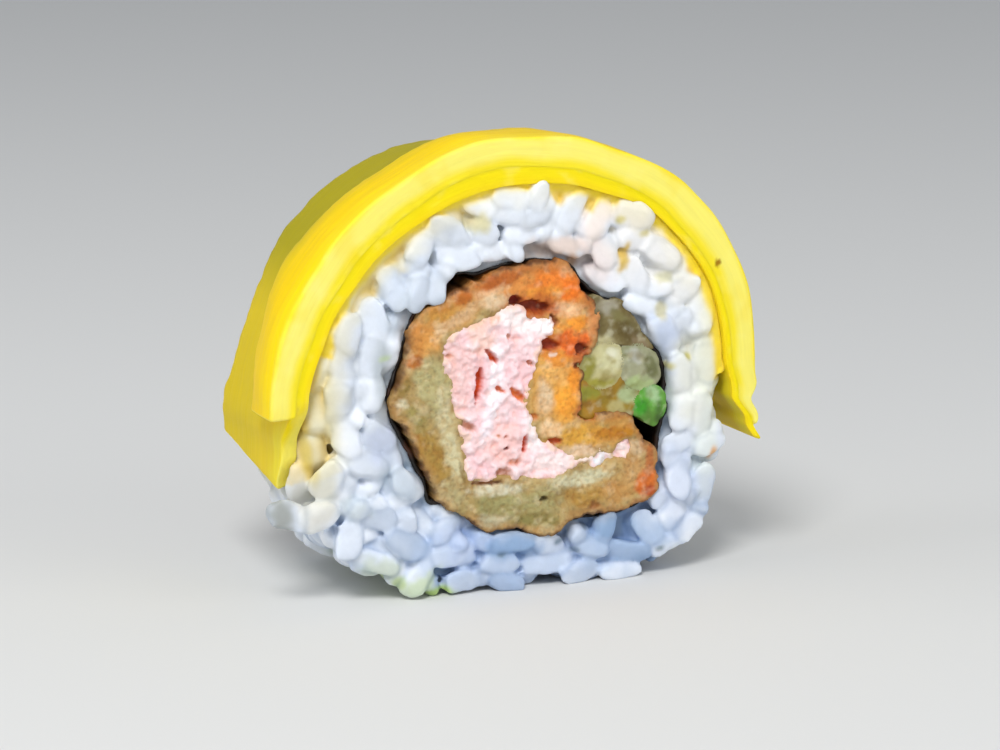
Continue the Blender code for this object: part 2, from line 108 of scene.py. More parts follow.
def srgb(colour: str) -> Rows:
    """Turns an sRGB hex colour to linear light.

    Args:
        colour: Six hex digits, such as "DCE6F2".

    Returns:
        Red, green and blue from 0 to 1.
    """
    channels = np.array([int(colour[i : i + 2], 16) for i in (0, 2, 4)]) / 255
    return np.where(channels <= 0.04045, channels / 12.92, ((channels + 0.055) / 1.055) ** 2.4)


def ease(low: float, high: float, value: Rows | float) -> Rows:
    """Rises smoothly from 0 at low to 1 at high.

    Args:
        low: Where the rise starts.
        high: Where it ends; below low, it falls instead.
        value: Where to take it.

    Returns:
        A share from 0 to 1 for each value.
    """
    share = np.clip((np.asarray(value, float) - low) / (high - low), 0.0, 1.0)
    return share * share * (3 - 2 * share)


def wander(points: Rows, size: float | Sequence[float], seed: float) -> Rows:
    """Smooth noise at each point.

    Args:
        points: Rows of three coordinates in millimetres.
        size: How wide its swells are, in millimetres, alike or for each coordinate.
        seed: A shift that gives another pattern.

    Returns:
        A value of about -1 to 1 for each point.
    """
    places = points / np.asarray(size) + seed * SEED_SHIFT
    return np.array([noise.noise(place) for place in places.tolist()])


def clouds(points: Rows, size: float, seed: float, layers: int = 3) -> Rows:
    """Noise in layers, each half as wide and half as strong as the one before.

    Args:
        points: Rows of three coordinates in millimetres.
        size: How wide the first layer's swells are, in millimetres.
        seed: A shift that gives another pattern.
        layers: How many layers there are.

    Returns:
        A value of about -1.5 to 1.5 for each point.
    """
    return sum(wander(points, size / 2**layer, seed + layer) / 2**layer for layer in range(layers))


def mix(first: Rows, second: Rows, share: Rows) -> Rows:
    """Mixes rows of colour by a share for each row."""
    share = np.asarray(share, float)[:, None]
    return first * (1 - share) + second * share


def on_face(points: Rows, layer: float | Rows = 0.0) -> Rows:
    """Rows of X and height as rows of three, at one depth or each at its own."""
    return np.column_stack([points[:, 0], np.full(len(points), layer), points[:, 1]])


class Dial:
    """A size that changes smoothly with the angle round the roll's axis.

    Angles are in degrees, anticlockwise from +X as the viewer sees the near cut face.
    """

    STEP = 0.5

    def __init__(self, *stops: tuple[float, float], closed: bool = False) -> None:
        """Makes the dial from its stops.

        Args:
            stops: Pairs of an angle and the size there, in order.
            closed: Whether it runs on round from its last stop to its first.
        """
        self.closed = closed
        angles = np.array([angle for angle, _ in stops], float)
        sizes = np.array([size for _, size in stops], float)
        if closed:
            self.angles = np.arange(angles[0], angles[0] + 360 + self.STEP, self.STEP)
            self.sizes = self._round(angles, sizes)
        else:
            self.angles = np.arange(angles[0], angles[-1] + self.STEP, self.STEP)
            last = np.clip(np.searchsorted(angles, self.angles, side="right") - 1, 0, len(angles) - 2)
            share = ease(0, 1, (self.angles - angles[last]) / (angles[last + 1] - angles[last]))
            self.sizes = sizes[last] + (sizes[last + 1] - sizes[last]) * share

    def _round(self, angles: Rows, sizes: Rows) -> Rows:
        """The sizes on a smooth closed curve through the stops.

        Args:
            angles: The stops' angles.
            sizes: The stops' sizes.

        Returns:
            A size for each of the dial's steps.
        """
        count = len(angles)
        wrapped = np.append(angles, angles[0] + 360)
        last = np.clip(np.searchsorted(wrapped, self.angles, side="right") - 1, 0, count - 1)
        share = (self.angles - wrapped[last]) / (wrapped[last + 1] - wrapped[last])
        around = [sizes[(last + step) % count] for step in (-1, 0, 1, 2)]
        return between(*around, share)

    def at(self, degrees: Rows | float) -> Rows:
        """The size at an angle, or at each of several.

        Args:
            degrees: Where to take it.

        Returns:
            A size for each angle.
        """
        if self.closed:
            degrees = (np.asarray(degrees, float) - self.angles[0]) % 360 + self.angles[0]
        return np.interp(degrees, self.angles, self.sizes)


def between(before: Any, start: Any, end: Any, after: Any, share: Any) -> Any:
    """A value on the smooth curve from start to end, between its two neighbours."""
    square, cube = share * share, share * share * share
    return 0.5 * (
        start * 2
        + (end - before) * share
        + (before * 2 - start * 5 + end * 4 - after) * square
        + (start * 3 - before - end * 3 + after) * cube
    )


def polar(radius: Rows | float, degrees: Rows | float) -> Rows:
    """Rows of X and height at this radius and angle."""
    turn = np.radians(degrees)
    return np.column_stack([radius * np.cos(turn), radius * np.sin(turn)])


def radius_and_angle(x: Rows, z: Rows) -> tuple[Rows, Rows]:
    """The distance from the axis and the angle round it, from 0 to 360 degrees."""
    return np.hypot(x, z), np.degrees(np.arctan2(z, x)) % 360


def evenly(points: Rows, spacing: float, closed: bool) -> Rows:
    """Points at an even spacing on the smooth curve through the given ones.

    Args:
        points: Rows of X and height.
        spacing: How far apart the result lies, in millimetres.
        closed: Whether the curve runs back to its start.

    Returns:
        Rows of X and height, without the first one again at the end of a closed curve.
    """
    knots = np.asarray(points, float)
    if closed:
        knots = np.vstack([knots[-1:], knots, knots[:2]])
    else:
        knots = np.vstack([2 * knots[:1] - knots[1:2], knots, 2 * knots[-1:] - knots[-2:-1]])
    shares = np.linspace(0, 1, CURVE_STEPS, endpoint=False)[:, None]
    dense = [between(*knots[i : i + 4], shares) for i in range(len(knots) - 3)]
    dense = np.vstack([*dense, knots[-2:-1]])
    lengths = np.concatenate([[0.0], np.cumsum(np.linalg.norm(np.diff(dense, axis=0), axis=1))])
    steps = max(3, round(lengths[-1] / spacing))
    wanted = np.linspace(0, lengths[-1], steps + 1)
    if closed:
        wanted = wanted[:-1]
    return np.column_stack([np.interp(wanted, lengths, dense[:, axis]) for axis in (0, 1)])


def grown(outline: Rows, distance: float | Rows) -> Rows:
    """Moves an anticlockwise outline out.

    Args:
        outline: Rows of X and height.
        distance: How far, in millimetres, alike or for each point.

    Returns:
        The moved outline.
    """
    along = np.roll(outline, -1, axis=0) - np.roll(outline, 1, axis=0)
    along /= np.linalg.norm(along, axis=1)[:, None]
    return outline + np.column_stack([along[:, 1], -along[:, 0]]) * np.reshape(distance, (-1, 1))


def inside(points: Rows, loops: Iterable[Rows]) -> Rows:
    """Whether each point lies inside an odd number of the loops.

    Args:
        points: Rows of X and height.
        loops: An outline and any hole, as rows of X and height.

    Returns:
        True or False for each point.
    """
    odd = np.zeros(len(points), bool)
    x, z = points[:, 0], points[:, 1]
    for loop in loops:
        for (x1, z1), (x2, z2) in zip(loop, np.roll(loop, -1, axis=0)):
            if z1 == z2:
                continue
            crossing = x1 + (z - z1) / (z2 - z1) * (x2 - x1)
            odd ^= ((z1 > z) != (z2 > z)) & (x < crossing)
    return odd


def relaxed(points: Rows, edges: Rows, rounds: int) -> Rows:
    """Draws each point of a mesh towards the middle of its neighbours.

    Args:
        points: Rows of three coordinates.
        edges: Pairs of point numbers.
        rounds: How often.

    Returns:
        The moved points.
    """
    ends = np.concatenate([edges, edges[:, ::-1]])
    count = np.bincount(ends[:, 0], minlength=len(points))
    for _ in range(rounds):
        sums = [np.bincount(ends[:, 0], points[ends[:, 1], axis], len(points)) for axis in range(3)]
        points = (points + np.column_stack(sums) / count[:, None]) / 2
    return points


def nearest(points: Rows, targets: Rows) -> Rows:
    """How far each point is from the closest target.

    Args:
        points: Rows of X and height.
        targets: Rows of X and height.

    Returns:
        A distance in millimetres for each point.
    """
    tree = kdtree.KDTree(len(targets))
    for i, (x, z) in enumerate(targets.tolist()):
        tree.insert((x, z, 0.0), i)
    tree.balance()
    return np.array([tree.find((x, z, 0.0))[2] for x, z in points.tolist()])


# Meshes and paint


@dataclass
class Shape:
    """A mesh in millimetres from the axis, with what its finish needs to know.

    The tint is each point's linear colour. The lie is where the point was in the uncut food,
    along its fibres, across them and through them, in millimetres.
    """

    points: Rows
    faces: Faces
    tint: Rows
    lie: Rows | None = None


def publish(name: str, shape: Shape, material: bpy.types.Material, slot: Slot, *nodes: str) -> None:
    """Makes a piece of the object from a shape and hands it to the frame.

    Args:
        name: The piece's name.
        shape: Its mesh, in millimetres from the axis.
        material: Its finish.
        slot: The record's material slot; not used.
        nodes: The CAD nodes that it stands for.
    """
    points = shape.points.copy()
    points[:, 2] = np.maximum(points[:, 2], BOARD) + AXIS_HEIGHT
    mesh = bpy.data.meshes.new(name)
    mesh.from_pydata((points * MM).tolist(), [], shape.faces)
    mesh.polygons.foreach_set("use_smooth", np.ones(len(mesh.polygons), bool))
    tint = mesh.color_attributes.new("tint", "FLOAT_COLOR", "POINT")
    tint.data.foreach_set("color", np.column_stack([shape.tint, np.ones(len(points))]).ravel())
    lie = mesh.attributes.new("lie", "FLOAT_VECTOR", "POINT")
    lie.data.foreach_set("vector", (shape.points if shape.lie is None else shape.lie).ravel())
    mesh.materials.append(material)
    mesh.update()
    piece = bpy.data.objects.new(name, mesh)
    bpy.context.scene.collection.objects.link(piece)
    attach(piece, "root")
    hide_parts(*nodes)
    triangles = sum(len(face) - 2 for face in shape.faces)
    log.info("%s: %d triangles, stands for %s", name, triangles, ", ".join(nodes))


@dataclass(frozen=True)
class Stain:
    """A patch of another colour on a cut face, with a wavering edge.

    Its place is X and height, its length lies at the turn, in degrees from +X, and a pit is
    how deep the face is sunk under it.
    """

    colour: str
    x: float
    z: float
    length: float
    width: float
    turn: float = 0.0
    strength: float = 1.0
    pit: float = 0.0
    soft: float = 0.9

    def cover(self, points: Rows) -> Rows:
        """How far it covers each point of the face, from 0 to 1.

        Args:
            points: Rows of X and height.

        Returns:
            A share for each point.
        """
        turn = math.radians(self.turn)
        dx, dz = points[:, 0] - self.x, points[:, 1] - self.z
        along = (dx * math.cos(turn) + dz * math.sin(turn)) / (self.length / 2)
        across = (dz * math.cos(turn) - dx * math.sin(turn)) / (self.width / 2)
        cover = np.zeros(len(points))
        reach = np.hypot(along, across)
        close = reach < STAIN_REACH
        if close.any():
            wave = STAIN_WAVE_SHARE * (self.width + STAIN_WAVE_MARGIN)
            reach = reach[close] + STAIN_WAVER * clouds(on_face(points[close]), wave, self.x + 3 * self.z)
            cover[close] = self.strength * ease(1 + self.soft / 2, 1 - self.soft / 2, reach)
        return cover


def patches(*rows: tuple) -> tuple[Stain, ...]:
    """Stains from rows: colour, X, height, length, width, then any turn, strength, pit and soft."""
    return tuple(Stain(*row) for row in rows)


def painted(base: Rows, points: Rows, stains: Sequence[Stain]) -> Rows:
    """Lays the stains over a base colour, in their order.

    Args:
        base: A linear colour for each point.
        points: Rows of X and height.
        stains: The patches.

    Returns:
        A linear colour for each point.
    """
    colour = base
    for stain_and_shade in stains:
        colour = mix(colour, srgb(stain_and_shade.colour), stain_and_shade.cover(points))
    return colour


def sunk(points: Rows, stains: Sequence[Stain]) -> Rows:
    """How deep the pits under the stains sink each point.

    Args:
        points: Rows of X and height.
        stains: The patches.

    Returns:
        A depth in millimetres for each point.
    """
    depth = np.zeros(len(points))
    for stain_and_shade in stains:
        if stain_and_shade.pit:
            depth = np.maximum(depth, stain_and_shade.pit * stain_and_shade.cover(points))
    return depth


@dataclass(frozen=True)
class Tint:
    """A colour laid where some measure runs from start to full, or one that only darkens there."""

    colour: str
    strength: float
    start: float
    full: float
    darkens: bool = False

    def over(self, base: Rows, measure: Rows, mask: Rows | float = 1.0) -> Rows:
        """Lays the colour over a base.

        Args:
            base: A linear colour for each point.
            measure: What decides where it lies, for each point.
            mask: A share of its strength that is let through, from 0 to 1.

        Returns:
            A linear colour for each point.
        """
        own = srgb(self.colour)
        share = self.strength * ease(self.start, self.full, measure) * mask
        return mix(base, base * own if self.darkens else own, share)


@dataclass(frozen=True)
class Wash(Tint):
    """A tint that comes and goes in clouds, whose first layer is of the size."""

    size: float = 2.4
    phase: float = 0.0
    layers: int = 3

    def laid(self, base: Rows, place: Rows, seed: float) -> Rows:
        """Lays the tint over a base where the clouds at each place are dense."""
        return self.over(base, clouds(place, self.size, seed + self.phase, self.layers))


@dataclass(frozen=True)
class Fringe(Wash):
    """A tint along a face's outline, whose inner border wavers by clouds."""

    waver: float = 0.8

    def along(self, base: Rows, edge: Rows, place: Rows, seed: float, mask: Rows | float = 1.0) -> Rows:
        """Lays the tint over a base near the outline.

        Args:
            base: A linear colour for each point.
            edge: How far each point is from the outline.
            place: Where each point is, as rows of three coordinates.
            seed: A shift that gives another pattern.
            mask: A share of its strength that is let through, from 0 to 1.

        Returns:
            A linear colour for each point.
        """
        wave = self.waver * clouds(place, self.size, seed + self.phase, self.layers)
        return self.over(base, edge + wave, mask)


def plain(colour: str, count: int) -> Rows:
    """Rows of one linear colour."""
    return np.tile(srgb(colour), (count, 1))


@dataclass(frozen=True)
class FaceGrid:
    """A cut face between its outlines, divided into small triangles."""

    points: Rows
    triangles: Faces
    sides: list[tuple[int, int]]

    @staticmethod
    def over(loops: Sequence[Rows], spacing: float, draw: random.Random) -> "FaceGrid":
        """Divides the face between loops.

        Args:
            loops: Its outline and then any hole, as rows of X and height.
            spacing: How wide a triangle is, in millimetres.
            draw: The random draw that shakes the grid.

        Returns:
            The grid, whose sides follow each loop in its own direction.
        """
        border = np.vstack(loops)
        low, high = border.min(axis=0), border.max(axis=0)
        row_height = spacing * math.sqrt(3) / 2
        rows = np.arange(low[1], high[1], row_height)
        spread = []
        for number, z in enumerate(rows):
            x = np.arange(low[0] + 0.5 * spacing * (number % 2), high[0], spacing)
            spread.append(np.column_stack([x, np.full(len(x), z)]))
        spread = np.vstack(spread)
        shake = [[draw.uniform(-1, 1), draw.uniform(-1, 1)] for _ in range(len(spread))]
        spread = spread + np.array(shake) * spacing * GRID_SHAKE
        spread = spread[inside(spread, loops)]
        spread = spread[nearest(spread, border) > GRID_CLEARANCE * spacing]

        sides, first = [], 0
        for loop in loops:
            sides += [(first + i, first + (i + 1) % len(loop)) for i in range(len(loop))]
            first += len(loop)
        placed = [Vector(point) for point in np.vstack([border, spread]).tolist()]
        found, _, triangles, origins, _, _ = geometry.delaunay_2d_cdt(placed, sides, [], 0, GRID_WELD)
        index_of = {source: i for i, sources in enumerate(origins) for source in sources}
        points = np.array([tuple(point) for point in found])
        middles = points[np.array(triangles)].mean(axis=1)
        kept = [triangle for triangle, good in zip(triangles, inside(middles, loops)) if good]
        return FaceGrid(points, kept, [(index_of[a], index_of[b]) for a, b in sides])


# Finishes


def add_node(
    tree: bpy.types.NodeTree,
    kind: str,
    settings: dict[str, Any] | None = None,
    inputs: dict[str | int, Any] | None = None,
) -> bpy.types.Node:
    """Adds a node to a material.

    Args:
        tree: The material's node tree.
        kind: The node's type name, without its "ShaderNode".
        settings: Its own settings by name.
        inputs: What goes into its sockets, by name or number: a constant, or another
            node's output socket, which is linked.

    Returns:
        The node.
    """
    node = tree.nodes.new(f"ShaderNode{kind}")
    for name, value in (settings or {}).items():
        setattr(node, name, value)
    for name, value in (inputs or {}).items():
        if isinstance(value, bpy.types.NodeSocket):
            tree.links.new(value, node.inputs[name])
        else:
            node.inputs[name].default_value = value
    return node


@dataclass(frozen=True)
class Finish:
    """A moist food surface that takes its colour from the tint painted on its mesh.

    The scatter is how much light goes under the surface and how far its red, green and blue
    go there, in millimetres. The grain is a fine mottling: how wide, and how strong.
    """

    name: str
    roughness: float
    ior: float
    scatter: float
    scatter_mm: tuple[float, float, float]
    grain_mm: tuple[float, float, float] = (0.5, 0.5, 0.5)
    grain_share: float = 0.08
    bump_mm: float = 0.03
    shine: float = 0.5
    wet: float = 0.0
    wet_roughness: float = 0.15

    def build(self) -> bpy.types.Material:
        """Makes the material.

        Returns:
            A Principled material with the tint, its mottling and its bump.
        """
        material = bpy.data.materials.new(self.name)
        material.use_nodes = True
        tree = material.node_tree
        shader = tree.nodes["Principled BSDF"]
        shader.subsurface_method = "BURLEY"
        tint = add_node(tree, "Attribute", {"attribute_name": "tint"}).outputs["Color"]
        lie = add_node(tree, "Attribute", {"attribute_name": "lie"}).outputs["Vector"]
        stretched = add_node(
            tree, "VectorMath", {"operation": "DIVIDE"}, {0: lie, 1: self.grain_mm}
        ).outputs["Vector"]
        height = self.grain(tree, stretched)
        share = add_node(
            tree,
            "MapRange",
            inputs={"Value": height, "To Min": 1 - self.grain_share, "To Max": 1 + self.grain_share},
        ).outputs["Result"]
        colour = add_node(
            tree, "VectorMath", {"operation": "SCALE"}, {0: tint, "Scale": share}
        ).outputs["Vector"]
        bump = add_node(
            tree, "Bump", inputs={"Height": height, "Distance": self.bump_mm * MM, "Strength": 1.0}
        ).outputs["Normal"]
        tree.links.new(colour, shader.inputs["Base Color"])
        tree.links.new(bump, shader.inputs["Normal"])
        shader.inputs["Roughness"].default_value = self.roughness
        shader.inputs["IOR"].default_value = self.ior
        shader.inputs["Subsurface Weight"].default_value = self.scatter
        shader.inputs["Subsurface Radius"].default_value = self.scatter_mm
        shader.inputs["Subsurface Scale"].default_value = MM
        shader.inputs["Specular IOR Level"].default_value = self.shine
        shader.inputs["Coat Weight"].default_value = self.wet
        shader.inputs["Coat Roughness"].default_value = self.wet_roughness
        return material

    def grain(self, tree: bpy.types.NodeTree, place: bpy.types.NodeSocket) -> bpy.types.NodeSocket:
        """The mottling's height.

        Args:
            tree: The material's node tree.
            place: Where the surface is, in grains.

        Returns:
            A socket with a height from 0 to 1.
        """
        return add_node(
            tree, "TexNoise", inputs={"Vector": place, "Scale": 1.0, "Detail": 3.0, "Roughness": 0.55}
        ).outputs["Fac"]


@dataclass(frozen=True)
class PorousFinish(Finish):
    """A finish with small open pores between its mottling."""

    def grain(self, tree: bpy.types.NodeTree, place: bpy.types.NodeSocket) -> bpy.types.NodeSocket:
        """The mottling's height, with a pore in the middle of each crumb.

        Args:
            tree: The material's node tree.
            place: Where the surface is, in grains.

        Returns:
            A socket with a height from 0 to 1.
        """
        mottling = super().grain(tree, place)
        pores = add_node(
            tree,
            "TexVoronoi",
            {"feature": "F1"},
            {"Vector": place, "Scale": 0.8, "Randomness": 1.0},
        ).outputs["Distance"]
        opened = add_node(
            tree, "MapRange", inputs={"Value": pores, "From Min": 0.05, "From Max": 0.45}
        ).outputs["Result"]
        return add_node(
            tree, "Math", {"operation": "MULTIPLY"}, {0: mottling, 1: opened}
        ).outputs["Value"]


# Steamed short-grain rice: swollen, sticky starch that light goes well into, so the grains
# glow softly and their edges look glassy.
STEAMED_RICE = Finish(
    name="steamed_rice", roughness=0.45, ior=1.4, scatter=1.0, scatter_mm=(0.5, 0.55, 0.65),
    grain_mm=(0.8, 0.8, 0.8), grain_share=0.06, bump_mm=0.04, shine=0.35
)

# Ripe mango, sliced with a knife: dense wet flesh with fibres that run along the slice.
RIPE_MANGO = Finish(
    name="sliced_ripe_mango", roughness=0.45, ior=1.4, scatter=0.5, scatter_mm=(1.3, 0.9, 0.1),
    grain_mm=(7.0, 0.3, 0.4), grain_share=0.07, bump_mm=0.05, shine=0.14
)

# Fried wheat batter, sliced: a dry spongy crumb with pores, oily where it browned.
FRIED_BATTER = PorousFinish(
    name="fried_batter", roughness=0.6, ior=1.45, scatter=0.15, scatter_mm=(0.6, 0.3, 0.15),
    grain_share=0.22, bump_mm=0.07
)

# Cooked fish paste, torn: moist flakes that are pale inside.
PINK_FLESH = Finish(
    name="torn_pink_flesh", roughness=0.48, ior=1.4, scatter=0.4, scatter_mm=(0.5, 0.25, 0.2),
    grain_mm=(0.35, 0.35, 0.35), bump_mm=0.06
)

# Cucumber flesh, cut: watery cells, so it is clear and glossy.
CUCUMBER_FLESH = Finish(
    name="cut_cucumber", roughness=0.3, ior=1.36, scatter=0.35, scatter_mm=(0.25, 0.3, 0.15),
    grain_mm=(0.7, 0.7, 0.7), grain_share=0.12, wet=0.15
)

# Cucumber rind, cut: the same, but firmer and deep green.
CUCUMBER_RIND = Finish(
    name="cucumber_rind", roughness=0.25, ior=1.36, scatter=0.35, scatter_mm=(0.1, 0.3, 0.1),
    grain_mm=(0.6, 0.6, 0.6), grain_share=0.16, wet=0.3
)

# Dried seaweed, pressed to a sheet and softened by the rice: near black, with a leathery
# crinkle.
PRESSED_SEAWEED = Finish(
    name="pressed_seaweed", roughness=0.5, ior=1.45, scatter=0.0, scatter_mm=(0.1, 0.1, 0.1),
    grain_mm=(0.4, 0.9, 0.4), grain_share=0.4, bump_mm=0.08
)


# The roll's shared shape

RICE_RIM = Dial(
    (0, 25.4), (28, 25.5), (47, 25.2), (61, 24.5), (75, 23.7), (90, 23.4), (120, 23.2), (143, 23.7),
    (156, 24.1), (180, 23.7), (199, 24.6), (209, 28.0), (221, 28.9), (234, 27.0), (248, 25.6), (262, 24.2),
    (278, 24.2), (291, 25.3), (304, 28.2), (318, 29.7), (331, 28.4), (345, 26.7), closed=True
)
WRAP_RADIUS = Dial(
    (0, 18.4), (9, 17.7), (15, 16.6), (26, 15.8), (36, 15.4), (40, 14.6), (45, 14), (57, 14.2), (66, 15.2),
    (78, 14.8), (90, 14.6), (102, 14.3), (110, 14.4), (117, 15.3), (121, 16), (126, 14.8), (131, 14.5),
    (139, 15.6), (149, 15.4), (155, 15.2), (163, 14.9), (172, 15.3), (181, 15.8), (189, 15.6), (195, 15.1),
    (206, 14.7), (214, 15), (221, 15.1), (229, 16.5), (234, 15.6), (246, 15.5), (253, 16.5), (270, 16.4),
    (278, 17.6), (287, 17.6), (292, 17.4), (299, 18.2), (311, 20.5), (319, 21.5), (325, 20.9), (331, 19.8),
    (343, 18.7), (348, 19.2), (353, 18.4), closed=True
)
SLICE_BED = Dial(
    (-17, 31.4), (-12, 29.2), (-6, 26.9), (4, 25.9), (24, 26.1), (47, 25.6), (70, 24.3), (90, 23.8),
    (118, 23.6), (143, 24.1), (160, 24.8), (180, 25.8), (190, 26.7), (201, 27.9)
)
COVERED_FROM, COVERED_TO = 358.0, 199.0


def covered(degrees: Rows) -> Rows:
    """Whether the slices lie over the rice at each angle."""
    return (degrees >= COVERED_FROM) | (degrees <= COVERED_TO)


def under_slices(degrees: Rows) -> Rows:
    """How far the slices' underside lies beyond the rice's rim, in millimetres."""
    return SLICE_BED.at(np.where(degrees > 270, degrees - 360, degrees)) - RICE_RIM.at(degrees)


# Foods that show a cut face


@dataclass(kw_only=True)
class CutFood:
    """A food that runs through the roll and shows a craggy cut face at each end."""

    piece: str
    node: str
    slot: Slot
    finish: Finish
    base: str
    other: str
    stains: tuple[Stain, ...] = ()
    washes: tuple[Wash, ...] = ()
    wash_layer: float = 0.0
    spacing: float = 0.22
    border_step: float = 0.12
    depth: float = PIECE_DEPTH
    edge_width: float = 0.7
    edge_drop: float = 0.4
    wall_steps: int = 8
    seed: float = 1.0

    def loops(self) -> list[Rows]:
        """The outline and then any hole, as rows of X and height."""
        raise NotImplementedError

    def relief(self, place: Rows) -> Rows:
        """How far the face stands out at each place, in millimetres."""
        raise NotImplementedError

    def paint(self, points: Rows, edge: Rows) -> Rows:
        """The face's colour: two tones in clouds, then the stains, then the washes.

        Args:
            points: Rows of X and height.
            edge: How far each point is from the outline.

        Returns:
            A linear colour for each point.
        """
        blotches = Wash(self.other, 1.0, -0.5, 0.5, phase=2.0, layers=1)
        colour = blotches.laid(plain(self.base, len(points)), on_face(points), self.seed)
        colour = painted(colour, points, self.stains)
        for wash in self.washes:
            colour = wash.laid(colour, on_face(points, self.wash_layer), self.seed)
        return colour

    def build(self) -> None:
        """Builds the food's mesh, paints it and publishes it."""
        loops = self.loops()
        grid = FaceGrid.over(loops, self.spacing, random.Random(int(self.seed * 100)))
        borders = [evenly(loop, self.border_step, closed=True) for loop in loops]
        bite = 1 - np.clip(nearest(grid.points, np.vstack(borders)) / self.edge_width, 0, 1)
        drop = self.edge_drop * (1 - np.sqrt(1 - bite**2)) + sunk(grid.points, self.stains)
        tint = self.paint(grid.points, nearest(grid.points, borders[0]))

        ends, faces = [], []
        for first, way in ((0, -1), (len(grid.points), 1)):
            stand = self.relief(on_face(grid.points, way * FACE_LAYER)) - drop
            ends.append(on_face(grid.points, way * (self.depth / 2 + stand)))
            faces += [tuple(first + corner for corner in triangle[::-way]) for triangle in grid.triangles]
        wall_points, wall_tint, wall_faces = self._walls(grid, ends, tint)
        shape = Shape(np.vstack([*ends, wall_points]), faces + wall_faces, np.vstack([tint, tint, wall_tint]))
        publish(self.piece, shape, self.finish.build(), self.slot, self.node)

    def _walls(self, grid: FaceGrid, ends: list[Rows], tint: Rows) -> tuple[Rows, Rows, Faces]:
        """The walls between the two faces, with rows of points between them.

        Args:
            grid: The face that both ends share.
            ends: The near and the far face's points.
            tint: The colour at each point of a face.

        Returns:
            The new points, their colours, and the faces of the walls.
        """
        near, far = ends
        corners = sorted({a for a, _ in grid.sides})
        row_of = {corner: i for i, corner in enumerate(corners)}
        shares = [step / self.wall_steps for step in range(1, self.wall_steps)]
        rows = [near[corners] * (1 - share) + far[corners] * share for share in shares]

        def number(corner: int, step: int) -> int:
            """The number of the wall's point below a corner."""
            if step in (0, self.wall_steps):
                return corner + (len(near) if step else 0)
            return 2 * len(near) + (step - 1) * len(corners) + row_of[corner]

        faces = [
            (number(b, step), number(a, step), number(a, step + 1), number(b, step + 1))
            for a, b in grid.sides
            for step in range(self.wall_steps)
        ]
        return np.vstack(rows), np.vstack([tint[corners]] * len(rows)), faces


COAT_OUTLINE = (
    (0, 14.2), (1, 14.2), (2, 14.5), (4, 14.3), (5.3, 14.2), (6.1, 13.4), (6.8, 12.2), (7.3, 11.1),
    (8.2, 10.2), (8.9, 9.5), (9.4, 8.4), (9.6, 7.2), (9.4, 6.1), (9, 4.7), (8.5, 3.8), (7.6, 3.6), (7.2, 2.8),
    (7, 2), (7.5, 1), (7.4, -0.2), (7.2, -1.4), (7.2, -2.9), (7.8, -3.9), (8.9, -4), (10.4, -3.9), (12.1, -4),
    (13.4, -4.5), (14, -5.5), (14.6, -6.6), (15.1, -7.6), (16.1, -8), (16.8, -8.8), (17, -9.8), (16.8, -11),
    (16.9, -12.2), (17, -13.2), (16.1, -14.1), (15, -14.5), (13.8, -14.6), (13.4, -15.1), (11.7, -15.2),
    (9.8, -15.2), (7.9, -15.4), (6.4, -15.8), (5.4, -16.3), (4.8, -17), (3.5, -17.3), (2.1, -17.3),
    (1, -16.7), (0, -16), (-1.7, -16.2), (-3.5, -16.2), (-5.2, -15.6), (-5.8, -14.8), (-7, -14.1),
    (-8.8, -13), (-9.9, -12), (-10.4, -10.5), (-11.4, -9.1), (-12, -7.6), (-12.5, -6.4), (-13, -5.1),
    (-13.7, -3.7), (-14.5, -2.8), (-15, -2.1), (-15.5, -1.1), (-15.5, 0.1), (-15.2, 1), (-14.9, 1.7),
    (-14.2, 3), (-13.7, 4.5), (-13.5, 6), (-13.3, 7.5), (-12.5, 8.8), (-11.8, 9.9), (-10.6, 10.4),
    (-9.2, 10.8), (-7.9, 11.8), (-6.7, 12), (-5.1, 12.6), (-3.1, 13.5), (-2, 13.9),
)
FLESH_OUTLINE = (
    (-4.5, 8.7), (-6.3, 8), (-8, 7.2), (-9.2, 6.5), (-9.9, 5.8), (-9.8, 4.2), (-9.5, 2.6), (-8.8, 1.4),
    (-8.7, -0.2), (-8.5, -1.4), (-8.3, -2.3), (-7.6, -2.9), (-7.7, -4), (-7.3, -5.4), (-7.2, -7),
    (-7.1, -8.4), (-6.6, -10.1), (-5, -10.3), (-3.1, -10.3), (-1.3, -10.5), (0, -10.4), (1.2, -10.6),
    (2.5, -11.2), (3.7, -11.1), (5, -10.5), (6.2, -9.8), (7.3, -9.6), (8, -9.6), (8.8, -10), (10.2, -10.2),
    (10.9, -9.5), (11.4, -9.3), (12.4, -9.5), (13.6, -8.9), (14.2, -7.7), (13.6, -6.6), (12.4, -6.8),
    (11.6, -7.5), (11.1, -8.2), (10.4, -7.9), (9.4, -7.9), (8.6, -8.6), (7.6, -8.8), (6.6, -8.5), (5.6, -7.9),
    (3.9, -7.1), (3.2, -6.4), (2.1, -5.3), (1.3, -3.6), (0.8, -2), (1.2, 0.3), (1.9, 1.8), (1.7, 3),
    (2.5, 4.5), (2.5, 5.7), (3.9, 6.2), (4, 7.6), (3.6, 8.2), (2.2, 8.3), (1, 8.7), (0.7, 9.2), (-0.1, 9.8),
    (-1.9, 9.8), (-3.3, 9.2),
)

